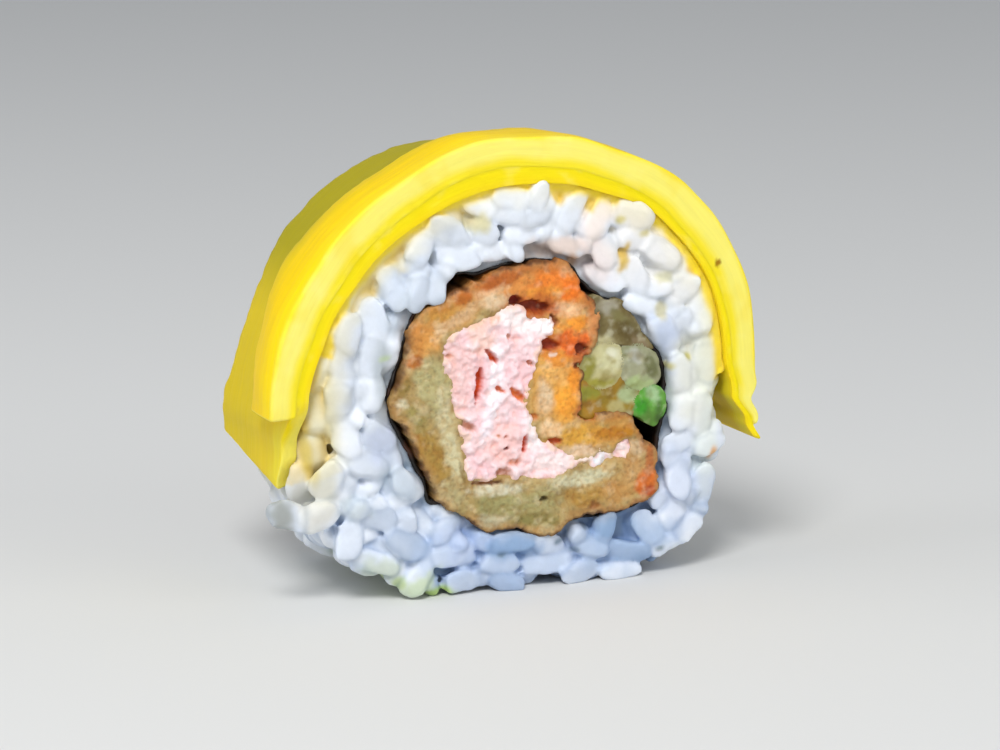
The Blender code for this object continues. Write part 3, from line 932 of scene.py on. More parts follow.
# Patches on the fried coat: first its crumb, then its browned crust, then its open pits.
COAT_STAINS = patches(
    ("DCA24C", 4.6, 1.2, 6.4, 13, 0, 0.95), ("DE8E3E", 3, 11, 11, 6.4, 0, 0.95),
    ("D29A52", -8.4, 9.6, 11, 3.6, 30, 0.9), ("CE9440", 9.4, -6, 9, 3.4, 2, 0.9),
    ("C0A064", 12.6, -11.4, 8, 6, 0, 0.85), ("B6AC78", -10.8, 1, 7, 4.6, -80),
    ("CEC49A", -8.9, -5, 9.4, 2.2, -80), ("A8873C", -11.2, -6.6, 8, 2.6, -62),
    ("A09050", -13, -2.4, 3.6, 2.2, -50), ("D2CCAC", -14.6, -0.4, 1.9, 1.5, -40, 1, 0, 0.7),
    ("8A7A3C", -14.4, 1.4, 2.6, 1, 60), ("B9AC7C", -8.6, -11.6, 3.6, 2.4, -50), ("9E9660", -2, -13.4, 9, 3.4),
    ("D4CEB2", -3, -11.5, 6, 1.3, -2), ("B8B08C", -3.8, -15.2, 3.4, 1.6), ("A59B66", 2.6, -13.2, 5, 3.4),
    ("8E8348", 1.6, -15.4, 5.4, 1.6, -6), ("BCAC7C", 3.2, -16.7, 2, 1.2, 0, 1, 0, 0.7),
    ("D2CBA6", 7, -11.2, 7.4, 1.6, 4), ("B0883E", 8, -13.4, 4.6, 2.2), ("C0904E", 12.2, -13, 4, 2.6),
    ("8A5A20", 9.2, -14.5, 2.2, 1, 10), ("C89C60", 14.4, -10.8, 3, 3.6), ("CDAE84", 14.2, -8, 3, 2),
    ("D06A1E", 15.8, -12.4, 2.2, 3, -10), ("B0440F", 16.3, -13.4, 1.6, 1.2, 30, 1, 0, 0.7),
    ("B5713C", 16.3, -9.6, 1.2, 3.6), ("DCA43C", 7, -6, 5.4, 2.6, 10), ("B97A14", 11.8, -6, 4.8, 1.4, 4),
    ("C09A50", 11, -4.8, 5, 1, 2), ("E2C4A2", 7.4, -7.9, 4.6, 1.4, -4),
    ("EFC896", 3.4, -5, 3, 2.4, -5, 1, 0, 0.6), ("F5A834", 5.5, -1.6, 3, 4.6),
    ("E0BC90", 2.9, -1.2, 2, 4.6, 4), ("F0B662", 4.2, 1.6, 4.4, 2.6), ("F29A28", 6.7, 0.8, 1.4, 3.4),
    ("E89434", 4.6, 3.4, 3.4, 1.8), ("EBD9C8", 3.8, 3.8, 1, 0.5, 0, 1, 0, 0.6), ("EE8426", 4, 12.6, 6.4, 2.6),
    ("F27A14", 6.4, 11.2, 3, 2.6), ("F09C38", 2.6, 11, 4.4, 1.6), ("F2BE8A", 5.8, 8.7, 3.6, 1.6),
    ("F59C2C", 7, 7.2, 4, 1.6), ("EE701A", 6.2, 5.2, 3.8, 2.6), ("E0A468", 9, 7.4, 1.4, 3.6),
    ("E2B080", -4, 11.7, 4.6, 1.4, 12), ("E3C49C", -3.2, 10.6, 4, 1.6, 8), ("D8B080", -8, 8.7, 6, 1.6, 28),
    ("C8923E", -9.8, 9.7, 4.6, 1.8, 15), ("D99A4A", -11.9, 6.7, 3.4, 3.4), ("B06A20", -13, 4.3, 1.8, 1.8),
    ("C07020", -7.1, 11.1, 2, 1.6, 20), ("B8641E", -2.6, 13, 5.6, 1.6, 14),
    ("B4561E", 1.2, 9.8, 6.4, 2.6, -8, 0.85), ("C25A1C", 3.4, 5.4, 3.4, 2.6, 0, 0.7),
    ("C04E18", 7.4, 3.6, 2, 3.6, 10, 0.7), ("B85A20", 7.6, -3.2, 3.4, 1.8, -10, 0.6),
    ("7E2008", -0.9, 10.5, 1.8, 1.1, 0, 1, 1.1, 0.4), ("8E3410", 1.6, 9.5, 4, 1.5, -6, 1, 1.2, 0.4),
    ("8A4420", 3.9, 7.8, 1.2, 0.9, -60, 0.9, 0.7, 0.4), ("A8401A", 3.4, 5.1, 2.2, 1.5, -10, 1, 1, 0.4),
    ("7A2408", 7.5, 4.2, 1.4, 1.4, 50, 1, 0.9, 0.4), ("7A2C0C", 7, 2.3, 0.8, 0.9, 0, 1, 0.6, 0.4),
    ("A84A12", 8, -3.6, 2.4, 1.1, -10, 1, 0.8, 0.5), ("C0521A", 4.2, -6.4, 1.6, 0.8, 0, 1, 0.6, 0.4),
    ("C06A20", 1.6, -3.4, 0.9, 0.9, -45, 0.9, 0.4, 0.4), ("5E5226", 2.8, -13.1, 1, 0.6, 0, 1, 0.5, 0.4),
    ("8E5A2C", -4.4, -10.6, 3.6, 0.6, -2, 0.9, 0.6, 0.4), ("6A5A20", -7.3, -9.2, 0.5, 2.4, 10, 0.6),
)

# Patches on the flesh: paler and deeper pink, then orange cracks and small pits. The deeper pink patch on the
# left is painted shade, and the bluish white patch on the tail a painted highlight.
FLESH_STAINS_AND_PAINTED_LIGHT = patches(
    ("D0B284", 7.8, -9.2, 1.6, 1.6), ("E8EEF2", 9.7, -9, 1.5, 1.6, 0, 1, 0, 0.6),
    ("D0B284", 11.2, -8.7, 0.8, 1.6, 10), ("F6E0DC", 12.8, -8, 1.6, 1.6, 0, 1, 0, 0.6),
    ("F0C8C6", -7.8, 2.4, 3.4, 8, 8), ("F2CCC0", -5, 6.4, 3, 4.4, 15), ("F4C8C4", -2.4, -6.4, 5.6, 5),
    ("FCEEEC", -0.6, 8.2, 6, 2.8, -24), ("FEF4F4", 2.4, 7.2, 3.4, 1.8, -10), ("FEF2F6", -3.4, 0, 1.8, 9, -4),
    ("FCEEF4", -4.4, -4, 1.6, 5, -6), ("FDF0F0", 1.6, -5.4, 1.8, 4.4, 16), ("FBE6E4", 3.6, -9, 5.4, 2.6),
    ("F8ECEC", 8.8, -8.4, 5, 1.2, 6), ("EDAE84", -3.4, 8.3, 1.5, 1.1, 20, 0.7),
    ("D4581E", -3.6, 4.1, 2.3, 0.8, -52, 1, 0.9, 0.4), ("D8531C", -5.2, 0.9, 4, 0.8, 82, 1, 1, 0.4),
    ("E07A2C", -0.4, -0.7, 2.6, 0.9, -45, 1, 0.8, 0.4), ("D9702E", -2.6, 0.2, 1.4, 0.6, -33, 1, 0.5, 0.4),
    ("C86A30", 1, 3.1, 0.8, 0.5, -35, 1, 0.6, 0.4), ("D07030", -1.7, 6.4, 0.7, 0.5, -56, 1, 0.5, 0.4),
    ("D8541F", 0.5, -6.3, 2.2, 0.6, 88, 1, 0.8, 0.4), ("7A2418", -1.9, -6.7, 0.6, 0.45, 20, 1, 0.5, 0.4),
    ("C8703E", -0.8, -8.4, 1.3, 0.9, 10, 0.8, 0.4), ("B4683A", -2, -9.7, 1.8, 1.1, -18, 0.9, 0.7),
    ("C98A68", -6.7, -3.6, 2.2, 0.9, -40, 0.9, 0.8), ("A86A3C", -9.6, 5.4, 1, 0.35, -14, 0.9, 0.3),
    ("B0703C", -8.9, 4.6, 0.8, 0.35, 0, 0.9, 0.3), ("C47840", -2.9, -5.2, 0.5, 0.35, 0, 0.9, 0.3),
    ("B86A4A", -2, -5.3, 0.5, 0.3, 30, 0.9, 0.3),
)


@dataclass(kw_only=True)
class FriedCoat(CutFood):
    """The fried coat, an arc inside the seaweed with a top lobe and a lower right arm."""

    piece: str = "batter_crumb"
    node: str = "batter"
    slot: Slot = Slot.FRIED_COAT
    finish: Finish = FRIED_BATTER
    base: str = "B9A068"
    other: str = "A68A52"
    stains: tuple[Stain, ...] = COAT_STAINS
    washes: tuple[Wash, ...] = (
        Wash("E2C89C", 0.5, 0.05, 0.9, True, size=2.4, phase=5, layers=4),
        Wash("FBE9C4", 0.24, 0.1, 0.8, size=1.3, phase=7),
    )
    wash_layer: float = -FACE_LAYER
    # Painted shade in the valleys between the relief's crumbs.
    valley_shade: Tint = Tint("E4CBA4", 0.5, 0.22, 0.0, True)
    crust: Fringe = Fringe("B8601A", 0.55, 1.5, 0.3, size=1.8, phase=4)
    rim: Fringe = Fringe("4A2408", 0.8, 0.35, 0.05, size=1.8, phase=4, waver=0.4)
    rim_gaps: tuple[float, float, float] = (2.2, -0.5, 0.3)
    browned: Dial = Dial(
        (0, 0.5), (60, 1.0), (115, 0.9), (145, 0.6), (165, 0.3), (295, 0.35), (318, 0.9), (360, 0.5)
    )
    outline_step: float = 0.25
    hole_step: float = 0.3
    hole_gap: float = 0.45
    crag: float = 0.3
    lump: float = 0.5
    lump_size: float = 3.2
    crumb: float = 0.28
    crumb_size: float = 1.0

    def loops(self) -> list[Rows]:
        """The coat's craggy outline and its hole.

        Returns:
            Both as rows of X and height, the hole the other way round.
        """
        outline = evenly(np.array(COAT_OUTLINE), self.outline_step, closed=True)[::-1]
        hole = evenly(np.array(FLESH_OUTLINE), self.hole_step, closed=True)
        crags = self.crag * clouds(on_face(outline), 1.0, 1.0)
        return [grown(outline, self.rim.start + crags), grown(hole, -self.hole_gap)[::-1]]

    def relief(self, place: Rows) -> Rows:
        """Lumps over the whole face, with rounded crumbs of two sizes on them.

        Args:
            place: Rows of three coordinates.

        Returns:
            How far the face stands out, in millimetres.
        """
        stand = self.lump * wander(place, self.lump_size, self.seed)
        for layer in (1, 2):
            stand += self.crumb / layer * np.abs(wander(place, self.crumb_size / layer, self.seed + layer))
        return stand - self.crumb / 2

    def paint(self, points: Rows, edge: Rows) -> Rows:
        """Mottled tan crumb with painted shade between its crumbs, browned towards a dark craggy rim that
        comes and goes.

        Args:
            points: Rows of X and height.
            edge: How far each point is from the outline.

        Returns:
            A linear colour for each point.
        """
        place = on_face(points, self.wash_layer)
        colour = super().paint(points, edge)
        # Painted shade where the crumbs of the relief sink.
        colour = self.valley_shade.over(colour, np.abs(wander(place, self.crumb_size, self.seed + 1)))
        _, degrees = radius_and_angle(points[:, 0], points[:, 1])
        colour = self.crust.along(colour, edge, place, self.seed, self.browned.at(degrees))
        size, start, full = self.rim_gaps
        there = ease(start, full, clouds(place, size, self.seed + 8))
        return self.rim.along(colour, edge, place, self.seed, there)


@dataclass(kw_only=True)
class PinkFlesh(CutFood):
    """The pink flesh inside the coat, torn into flakes."""

    piece: str = "flesh_flakes"
    node: str = "flesh"
    slot: Slot = Slot.FLESH
    finish: Finish = PINK_FLESH
    base: str = "F2C8CC"
    other: str = "F6D8DA"
    stains: tuple[Stain, ...] = FLESH_STAINS_AND_PAINTED_LIGHT
    # The first two follow the flakes of the relief: near white where they stand out and deeper pink where
    # they sink, painted light and shade.
    washes: tuple[Wash, ...] = (
        Wash("FEEEF1", 0.5, 0.0, 0.7, size=FLAKE, phase=1, layers=4),
        Wash("EFB4A4", 0.45, -0.15, -0.8, size=FLAKE, phase=1, layers=4),
        Wash("F2BEA6", 0.3, 0.2, 0.8, size=2.6, phase=9),
    )
    wash_layer: float = -FACE_LAYER
    oily: Fringe = Fringe("F0C8A4", 0.55, 0.7, 0.0, size=1.5, phase=6)
    spacing: float = 0.18
    depth: float = PIECE_DEPTH - 0.1
    outline_step: float = 0.3
    tear: float = 0.25
    swell: float = 0.5
    swell_size: float = 3.0
    flake_height: float = 0.42
    seed: float = 3.0

    def loops(self) -> list[Rows]:
        """The flesh's outline, uneven at the size of its flakes.

        Returns:
            The outline alone, as rows of X and height.
        """
        outline = evenly(np.array(FLESH_OUTLINE), self.outline_step, closed=True)
        return [grown(outline, 0.1 + self.tear * clouds(on_face(outline), 1.0, 5.0))]

    def relief(self, place: Rows) -> Rows:
        """Soft fluffy flakes over broad swells, in millimetres at each place."""
        stand = self.swell * wander(place, self.swell_size, self.seed)
        return stand + self.flake_height * clouds(place, FLAKE, self.seed + 1, 4)

    def paint(self, points: Rows, edge: Rows) -> Rows:
        """Near white on the flakes and deeper pink between them, painted light and shade, and oily along the
        coat.
        """
        return self.oily.along(super().paint(points, edge), edge, on_face(points), self.seed)


@dataclass(kw_only=True)
class CucumberStick(CutFood):
    """One piece of cucumber, cut across: clear flesh, darker and browner in clouds."""

    slot: Slot = Slot.CUCUMBER
    finish: Finish = CUCUMBER_FLESH
    washes: tuple[Wash, ...] = (
        Wash("D9D8BC", 0.4, 0.1, 0.8, size=1.4, phase=3),
        Wash("C4B68C", 0.7, 0.1, 0.8, True, size=1.8, phase=6),
    )
    shade: Fringe = Fringe("C8BC98", 0.2, 0.8, 0.0, True, size=1.0, layers=1, waver=0.4)
    outline: tuple[tuple[float, float], ...] = ()
    outline_step: float = 0.3
    grown_by: float = 0.2
    unevenness: float = 0.3
    depth: float = PIECE_DEPTH - 1.0
    edge_width: float = 0.3
    edge_drop: float = 0.08

    def loops(self) -> list[Rows]:
        """The stick's outline, a little uneven.

        Returns:
            The outline alone, as rows of X and height.
        """
        outline = evenly(np.array(self.outline), self.outline_step, closed=True)[::-1]
        return [grown(outline, self.grown_by + self.unevenness * clouds(on_face(outline), 1.5, self.seed))]

    def relief(self, place: Rows) -> Rows:
        """A cut face that sank unevenly as it dried, in millimetres at each place."""
        return self.unevenness * clouds(place, 2.6, 11.0)

    def paint(self, points: Rows, edge: Rows) -> Rows:
        """Clear mottled flesh, a little darker towards its outline."""
        return self.shade.along(super().paint(points, edge), edge, on_face(points), self.seed)


CUCUMBER_STICKS = (
    CucumberStick(
        piece="cucumber_upper_stick",
        node="cucumber_upper",
        base="7C6E44", other="6E6034",
        outline=(
            (9.3, 9.9), (10.4, 9.8), (11.3, 9.4), (12.7, 9.3), (13.5, 7.9), (14.5, 6.5), (15.5, 5.1),
            (16.6, 3.6), (14.6, 3.9), (12.9, 4.2), (11, 4.4), (8.9, 4.3), (9.2, 5.8), (9.4, 7.2), (9.3, 8.6),
        ),
        stains=patches(
            ("A29C88", 10.6, 8.8, 3, 2.2, -20), ("787044", 12.6, 7.4, 2.6, 1.4, -40),
            ("5E4E20", 13.6, 5.6, 3.4, 1.8, -50), ("7E6C4C", 15, 4.4, 2.6, 1.2, -45),
            ("B4AC80", 10.2, 4.7, 3.6, 1.6), ("6A5C30", 9.9, 6.8, 1.2, 2.4, 10),
        ),
        seed=11.0,
    ),
    CucumberStick(
        piece="cucumber_middle_stick",
        node="cucumber_middle",
        base="BDB580", other="A89F62",
        outline=(
            (8.7, 4.4), (10.6, 5), (12.2, 4.2), (13, 2.3), (12.5, 0.4), (10.9, -0.8), (9, -0.5), (7.7, 1),
            (7.5, 3),
        ),
        stains=patches(
            ("CECA9C", 10.9, 2.4, 3.2, 2.8), ("D8D6B8", 11.6, 3.4, 1.6, 1.2), ("8E8834", 8.3, 1.4, 1.8, 3.8),
            ("9C9438", 9.6, 0, 4.4, 1),
        ),
        seed=12.0,
    ),
    CucumberStick(
        piece="cucumber_right_stick",
        node="cucumber_right",
        base="9C9C7C", other="8C9068",
        outline=(
            (13, 3.9), (14.6, 4.4), (16.2, 3.4), (17.4, 1.5), (17, -0.4), (15.3, -1.4), (13.5, -1),
            (12.6, 0.8), (12.7, 2.6),
        ),
        stains=patches(
            # The pale grey patch at the upper left is a painted highlight.
            ("B4B4A6", 14.4, 2.9, 2.4, 1.6, -20), ("6E7048", 16.6, 1.2, 1.2, 3.4, 20),
            ("A4B47C", 14.8, -0.6, 3.6, 1.6, -6),
        ),
        seed=13.0,
    ),
    CucumberStick(
        piece="cucumber_lower_stick",
        node="cucumber_lower",
        base="A4781A", other="907820",
        outline=(
            (7.4, 0.4), (9, -0.2), (10.9, -0.6), (12.5, 0.3), (13.6, -0.7), (15, -1.3), (14.6, -2.6),
            (14.1, -4.1), (12.3, -4.4), (10.4, -4.4), (8.9, -4.4), (7.5, -3.5), (7.1, -1.8),
        ),
        stains=patches(
            ("8E8A2A", 8.4, -1, 2.4, 1.8), ("B2A468", 12.2, -3.2, 2, 1.8),
            ("A9B684", 13.5, -1.6, 2.6, 2.2, -30),
        ),
        seed=14.0,
    ),
    CucumberStick(
        piece="cucumber_rind_stick",
        node="cucumber_skin",
        slot=Slot.RIND,
        finish=CUCUMBER_RIND,
        base="58A02C", other="629A3A",
        outline=(
            (14.2, -2.4), (15.3, -1.2), (16.6, -0.7), (17.6, -1.5), (18.3, -3), (18.1, -4.4), (17.2, -5.5),
            (16.2, -5.4), (15.2, -4.6), (14.2, -3.9),
        ),
        stains=patches(
            ("9CBC88", 16.8, -1.7, 2.6, 2, -30), ("3A9618", 15.3, -3.4, 1.6, 1.8),
            ("4A7428", 17.6, -4.2, 1.2, 2.4),
        ),
        seed=15.0,
    ),
)


@dataclass
class SeaweedSheet:
    """The seaweed between the rice and the filling, crinkled, and thicker at the left."""

    thickness: Dial = Dial((0, 0.4), (60, 0.3), (160, 0.3), (200, 0.45), (232, 0.45), (250, 0.3), (360, 0.4))
    depth: float = PIECE_DEPTH - 2.6
    stand: float = 0.35
    crinkle: float = 0.1
    crinkle_size: tuple[float, float, float] = (1.4, 4.0, 1.4)
    fine_size: float = 0.6
    edge_wave: float = 0.35
    around: int = 420
    along: int = 26
    dark: str = "120D08"
    browned: Wash = Wash("3A1E0E", 1.0, 0.0, 0.7, size=1.5, phase=5, layers=1)

    def _ring(self, turns: Rows, side: int, share: float) -> Rows:
        """One ring of the band's points.

        Args:
            turns: The angle of each point.
            side: 0 on the outer side of the sheet and 1 on the inner one.
            share: Where the ring is, from -1 at the near edge to 1 at the far one.

        Returns:
            Rows of three coordinates.
        """
        rim = WRAP_RADIUS.at(turns)
        place = on_face(polar(rim, turns), share * self.depth / 2)
        bulge = self.crinkle * (wander(place, self.crinkle_size, 1.0) + wander(place, self.fine_size, 2.0))
        inward = side * self.thickness.at(turns) * (1 + 0.5 * wander(place, 1.5, 3.0))
        wave = abs(share) ** 8 * self.edge_wave * wander(place * np.array([1, 0, 1]), 1.2, 4.0)
        return on_face(polar(rim + self.stand + bulge - inward, turns), place[:, 1] + wave)

    def build(self) -> None:
        """Builds the sheet as a closed band and publishes it."""
        turns = np.arange(self.around) * 360 / self.around
        shares = np.linspace(-1, 1, self.along)
        rings = [self._ring(turns, 0, share) for share in shares]
        rings += [self._ring(turns, 1, share) for share in shares[::-1]]
        faces = [face[::-1] for face in ring_faces(len(rings), self.around, closed_rows=True)]
        points = np.vstack(rings)
        tint = self.browned.laid(plain(self.dark, len(points)), points, 0.0)
        publish("seaweed_sheet", Shape(points, faces, tint), PRESSED_SEAWEED.build(), Slot.SEAWEED, "nori")


def ring_faces(rows: int, around: int, closed_rows: bool, first: int = 0) -> Faces:
    """Faces between rows of points, each row a closed ring.

    Args:
        rows: How many rings there are.
        around: How many points each ring has.
        closed_rows: Whether the last ring joins the first.
        first: The number of the first ring's first point.

    Returns:
        Quads as tuples of point numbers.
    """
    faces = []
    for row in range(rows if closed_rows else rows - 1):
        here, there = first + row * around, first + (row + 1) % rows * around
        for i in range(around):
            j = (i + 1) % around
            faces.append((here + i, here + j, there + j, there + i))
    return faces


# Rice


class Patch(Enum):
    """Where on the rice a grain lies."""

    NEAR_FACE = "near_face"
    FAR_FACE = "far_face"
    OPEN_SIDE = "open_side"


@dataclass(frozen=True)
class GrainSpot:
    """A grain of the near face: its middle, turn, length, width, and how far back it lies."""

    x: float
    z: float
    turn: float
    length: float
    width: float
    depth: float = 0.0


FRONT_GRAINS = tuple(
    GrainSpot(*spot)
    for spot in (
        (-1.3, 22.3, -11, 4.6, 2.6), (2.3, 22.3, 68, 4, 2.5), (-4.9, 21.5, -24, 4.2, 2.2),
        (-1.5, 20.2, -13, 4.6, 2.4), (1.8, 19.9, 6, 4.3, 2.4), (0.5, 18.1, 4, 4.3, 2.3),
        (-8.5, 18.6, -30, 5.5, 3.3), (-7.7, 15.9, -8, 5.2, 2.8), (-3.6, 16.2, -4, 4.6, 2.4),
        (-12.1, 17.2, 57, 4.6, 3), (-12.6, 14.9, -13, 3.8, 2.3), (-15.5, 12.7, -72, 5.2, 2.9),
        (-12.5, 12.3, 79, 4.2, 2.8), (-10.4, 12.7, 90, 4.2, 2.6), (-17.6, 9.1, 100, 5.2, 3.4),
        (-21, 8, 77, 5, 3), (-21.3, 4, 91, 5.4, 3.1), (-18.1, 5.2, 87, 5.2, 3), (-18.2, 1.2, 95, 5, 3),
        (6.6, 20.3, 60, 5.4, 2.8), (9.4, 19, 60, 5.7, 3), (14, 19.2, -22, 5, 3.5),
        (10.3, 15.4, -64, 5.4, 3.2), (14.3, 16.8, -22, 4.8, 2.7), (17.6, 14.6, -35, 6, 3.4),
        (20.2, 10.2, 38, 5.2, 3.3), (16.9, 10.7, -4, 3.9, 2.4), (18.2, 4.9, -59, 5.9, 3.3),
        (23.2, 7.4, -84, 5.8, 3), (14.3, 12, -59, 5.4, 3.2), (20.2, 0, -79, 5.4, 3.3),
        (23.6, 1.2, -87, 5.6, 3), (-22.1, 0.2, -84, 5.4, 3.3), (-21.1, -4, -72, 5.2, 3.3),
        (-17.2, -4.3, -28, 5, 3.3), (-18.6, -7.6, -19, 5.7, 3.2), (-23.6, -8.6, 57, 4.8, 3.4),
        (-28, -12.7, -23, 5, 3.2), (-24.6, -12.8, 25, 4.8, 3.2), (-21, -15.9, 79, 5.2, 3.1),
        (-17.8, -13.5, -24, 5.8, 3.5), (-14, -17, -33, 5.5, 3.5), (-8.1, -19, -1, 6.1, 2.9),
        (-17.9, -18.9, -15, 5.5, 2.7), (-12.6, -20.8, 57, 5, 2.8), (-7, -22.3, -1, 4.9, 2.6),
        (-2.4, -20.4, -2, 4.8, 2.4), (-1.7, -22.8, -15, 4.6, 2.2), (3.3, -21.2, 6, 6.2, 2.5),
        (7.6, -22.3, 12, 5, 2.7), (8.9, -19.7, -17, 4.4, 2.5), (13.6, -20.7, -13, 5.8, 2.6),
        (12.7, -22.9, 2, 5.3, 2.3), (10.9, -17.4, 70, 3.9, 2.4), (19.9, -8, 3, 3.9, 2.3),
        (20.4, -4.2, 80, 4.8, 2.7), (24.3, -8.6, 14, 4.2, 2.5), (21.5, -18.4, 35, 4.4, 2.7),
        (18.7, -20.2, 14, 4.2, 2.5), (-1.2, -18, -1, 5.9, 2.4), (3.6, -18.7, -15, 4.7, 2.6),
        (20.2, -12.2, 85, 5.5, 3.4), (23.2, -13.4, 85, 5.4, 3.2), (19.6, -16.4, 57, 5.1, 3.3),
        (22.9, -5, 89, 5.7, 3.2), (16.3, -18, -60, 4.7, 3), (-23.8, 3.6, 84, 5.6, 3.2, 1.6),
        (-24.3, -1, 92, 5.8, 3.4, 1.8), (-24.6, -5.2, 98, 5.6, 3.6, 2.2), (-23.2, 7.6, 76, 5.2, 3, 1.4),
        (-25.6, -9.4, 110, 5.4, 3.8, 2.6), (-21.4, 11.6, 62, 5.2, 2.8, 1.2), (20.4, 12.7, -50, 4.6, 2.8, 0.9),
    )
)

# Patches on the rice's near face. The grey-blue and slate ones are painted shade, towards the bottom and in
# holes between the grains, and the grey, beige and olive ones along the mango's left end are painted shade
# under it, yellowed by the mango. The yellow and gold ones are mango seen between the grains, and the rest
# are tints and bits on the rice.
RICE_STAINS_AND_SHADE = patches(
    ("DEC8BA", 4.6, 16.2, 7.4, 2.6, 4, 0.85), ("ECDCD6", 9.3, 15.2, 4, 7, 20, 0.75),
    ("F8EAE0", 9.8, 19.6, 3.6, 6.4, -28, 0.8), ("F4F2EC", 19.4, 11.6, 5, 7, 30, 0.7),
    ("F1EAD2", 14.6, 19.6, 5.6, 3.6, -20, 0.7), ("C6D2EA", 18, 4.8, 3.6, 6.6, 20, 0.8),
    ("C3CDE6", -16.8, -5, 5, 4.6, -20, 0.6), ("B7C4D0", -14.8, -9.4, 4, 6, 30, 0.7),
    ("A9B2B6", -17, 2, 2.2, 10, 0, 0.7), ("B4BCBE", -14.8, 10, 2.4, 4.6, -38, 0.6),
    ("DCD9CC", -25, -10, 5, 8, 0, 0.75), ("D6D4C0", -24, -2, 3.4, 17, 3, 0.8),
    ("C2AE50", -25.9, -3.4, 1.6, 11, 8, 0.9), ("94968E", -28.9, -12.6, 3, 4, 0, 0.85),
    ("E2CE70", -23.9, 6.4, 1.2, 9, -14, 0.8), ("D3DEEE", -15, 12.6, 9, 11, 40, 0.55),
    ("B4C8E6", -10.6, -18.8, 6, 5, -20, 0.55), ("8EAACE", 12, -18.6, 7, 3, 0, 0.6),
    ("E8E8DA", 22, 0, 5, 12, 4, 0.75), ("BFCBD0", -20.2, -12, 4, 2.6, 0, 0.6),
    ("BFD0F2", -7, -17.6, 6, 5, -30, 0.7), ("AEC0DC", 1, -20.4, 18, 7, 0, 0.6),
    ("AABEDA", 12, -19, 9, 7, 10, 0.6), ("7EA0C8", -1, -18.8, 7, 2.8, -4, 0.7),
    ("86A6CC", 11.6, -17.6, 5, 2.4, 0, 0.7), ("9CB6D8", 18, -19, 5, 3, 20, 0.5),
    ("C9D3E8", 20, -13, 6, 9, 0, 0.6), ("E3E6D6", 24, 2, 3, 16, 4, 0.7),
    ("E0B020", 21.8, 12.9, 2.2, 2.2, 0, 0.9, 0, 0.6), ("F2ECE4", 14.6, 15.6, 8, 8, 0, 0.5),
    ("E0E6DC", 23.4, -8, 3, 10, 0, 0.6), ("C6D0BE", -17, -19.6, 6, 2.6, -12, 0.8),
    ("C8D8B0", -12.4, -22, 5, 2.4, 30, 0.8), ("B4D070", -10, -23.2, 3, 1.4, 0, 0.9),
    ("AFC46C", -14.8, -21.6, 1.8, 1.6, 0, 0.7), ("BFD29A", -16.6, 4.9, 1.4, 0.6, 10, 0.8),
    ("E2A864", 24.4, -9.6, 0.9, 1.5, 0, 0.9), ("C9BE66", 18.8, 1.3, 1.1, 0.9, 0, 0.8),
    ("C08A50", 6.9, 14.4, 1.8, 1.6, -30, 0.8), ("D8B440", 12.7, 14.5, 3.4, 1.2, 75, 0.9, 0, 0.6),
    ("CDC48C", -5, 19.7, 2.8, 2, 0, 0.8), ("D2CA9C", 17.6, 8.2, 1.4, 2, 0, 0.8),
    ("DAD6AE", 18.1, 11.8, 2.4, 1.2, 0, 0.8), ("C8BC4C", 21.2, 2.2, 0.8, 0.8, 0, 0.8),
    ("D0C260", 12.2, 19, 1.1, 0.9, 30, 0.8), ("CCC070", 15.4, 17.2, 1.2, 0.8, 0, 0.8),
    ("CCC060", 17, 18.2, 1, 0.8, 0, 0.8), ("E8C430", 4.7, 22.3, 1.4, 2.4, 10, 0.9, 0, 0.6),
    ("E8C838", 9.1, 21.4, 1.3, 2.6, -20, 0.9, 0, 0.6), ("D8CCAC", -7, 20.8, 3.4, 1.6, -25, 0.7),
    ("DCD4B4", -15.4, 16.2, 3.4, 1.8, -50, 0.7), ("DCD6BC", -18.4, 13.3, 3.2, 1.8, -60, 0.7),
    ("5E7484", -2.5, -19.3, 1, 0.6, 0, 0.8), ("506878", 4.8, -18.5, 1.1, 0.8, 20, 0.8),
    ("5A7084", 6.8, -19.6, 1, 0.7, 0, 0.8), ("48586A", 8.2, -17, 1.1, 0.8, 0, 0.8),
    ("586C70", 17.7, -20.5, 1, 0.6, 20, 0.8),
)


@dataclass(frozen=True)
class Grain:
    """A laid grain: its middle, its own axes as rows, and its length, width and thickness."""

    middle: Rows
    axes: Rows
    size: Rows

    @cached_property
    def spine(self) -> Rows:
        """Five points along its middle line, which stand for it in tests of distance."""
        reach = (self.size[0] - self.size[1]) / 2
        return self.middle + np.outer(np.linspace(-reach, reach, 5), self.axes[0])

    def room(self, others: Sequence["Grain"]) -> float:
        """How far it would lie from the closest of the others.

        Args:
            others: The grains that lie there.

        Returns:
            The distance between their middle lines, in its own widths.
        """
        if not others:
            return math.inf
        middles = np.array([other.middle for other in others])
        close = np.linalg.norm(middles - self.middle, axis=1) < GRAIN_REACH
        if not close.any():
            return math.inf
        spines = np.array([other.spine for other in others])[close]
        gaps = spines.reshape(-1, 1, 3) - self.spine.reshape(1, -1, 3)
        return float(np.linalg.norm(gaps, axis=2).min() / self.size[1])


@dataclass(frozen=True)
class Laying:
    """How grains are laid: how deep their middles lie, how far they tip, how close they lie.

    A tip is a share of a right angle, and closeness is in widths.
    """

    sink: tuple[float, float]
    tip: float
    closeness: float


# How far off another grain's middle may be to count as close, in millimetres.
GRAIN_REACH = 8.0

# How many points of the grains' middle lines are looked at round a place.
NEIGHBOURS = 12

# How far each of these runs on from one grain to the next, in radians: its bend, its dents, how
# high it was cut and how askew.
BEND_PACE = 2.4
DENT_PACE = 0.37
CUT_PACE = 4.1
LEAN_PACE = 1.7
RISE_PACE = 2.9


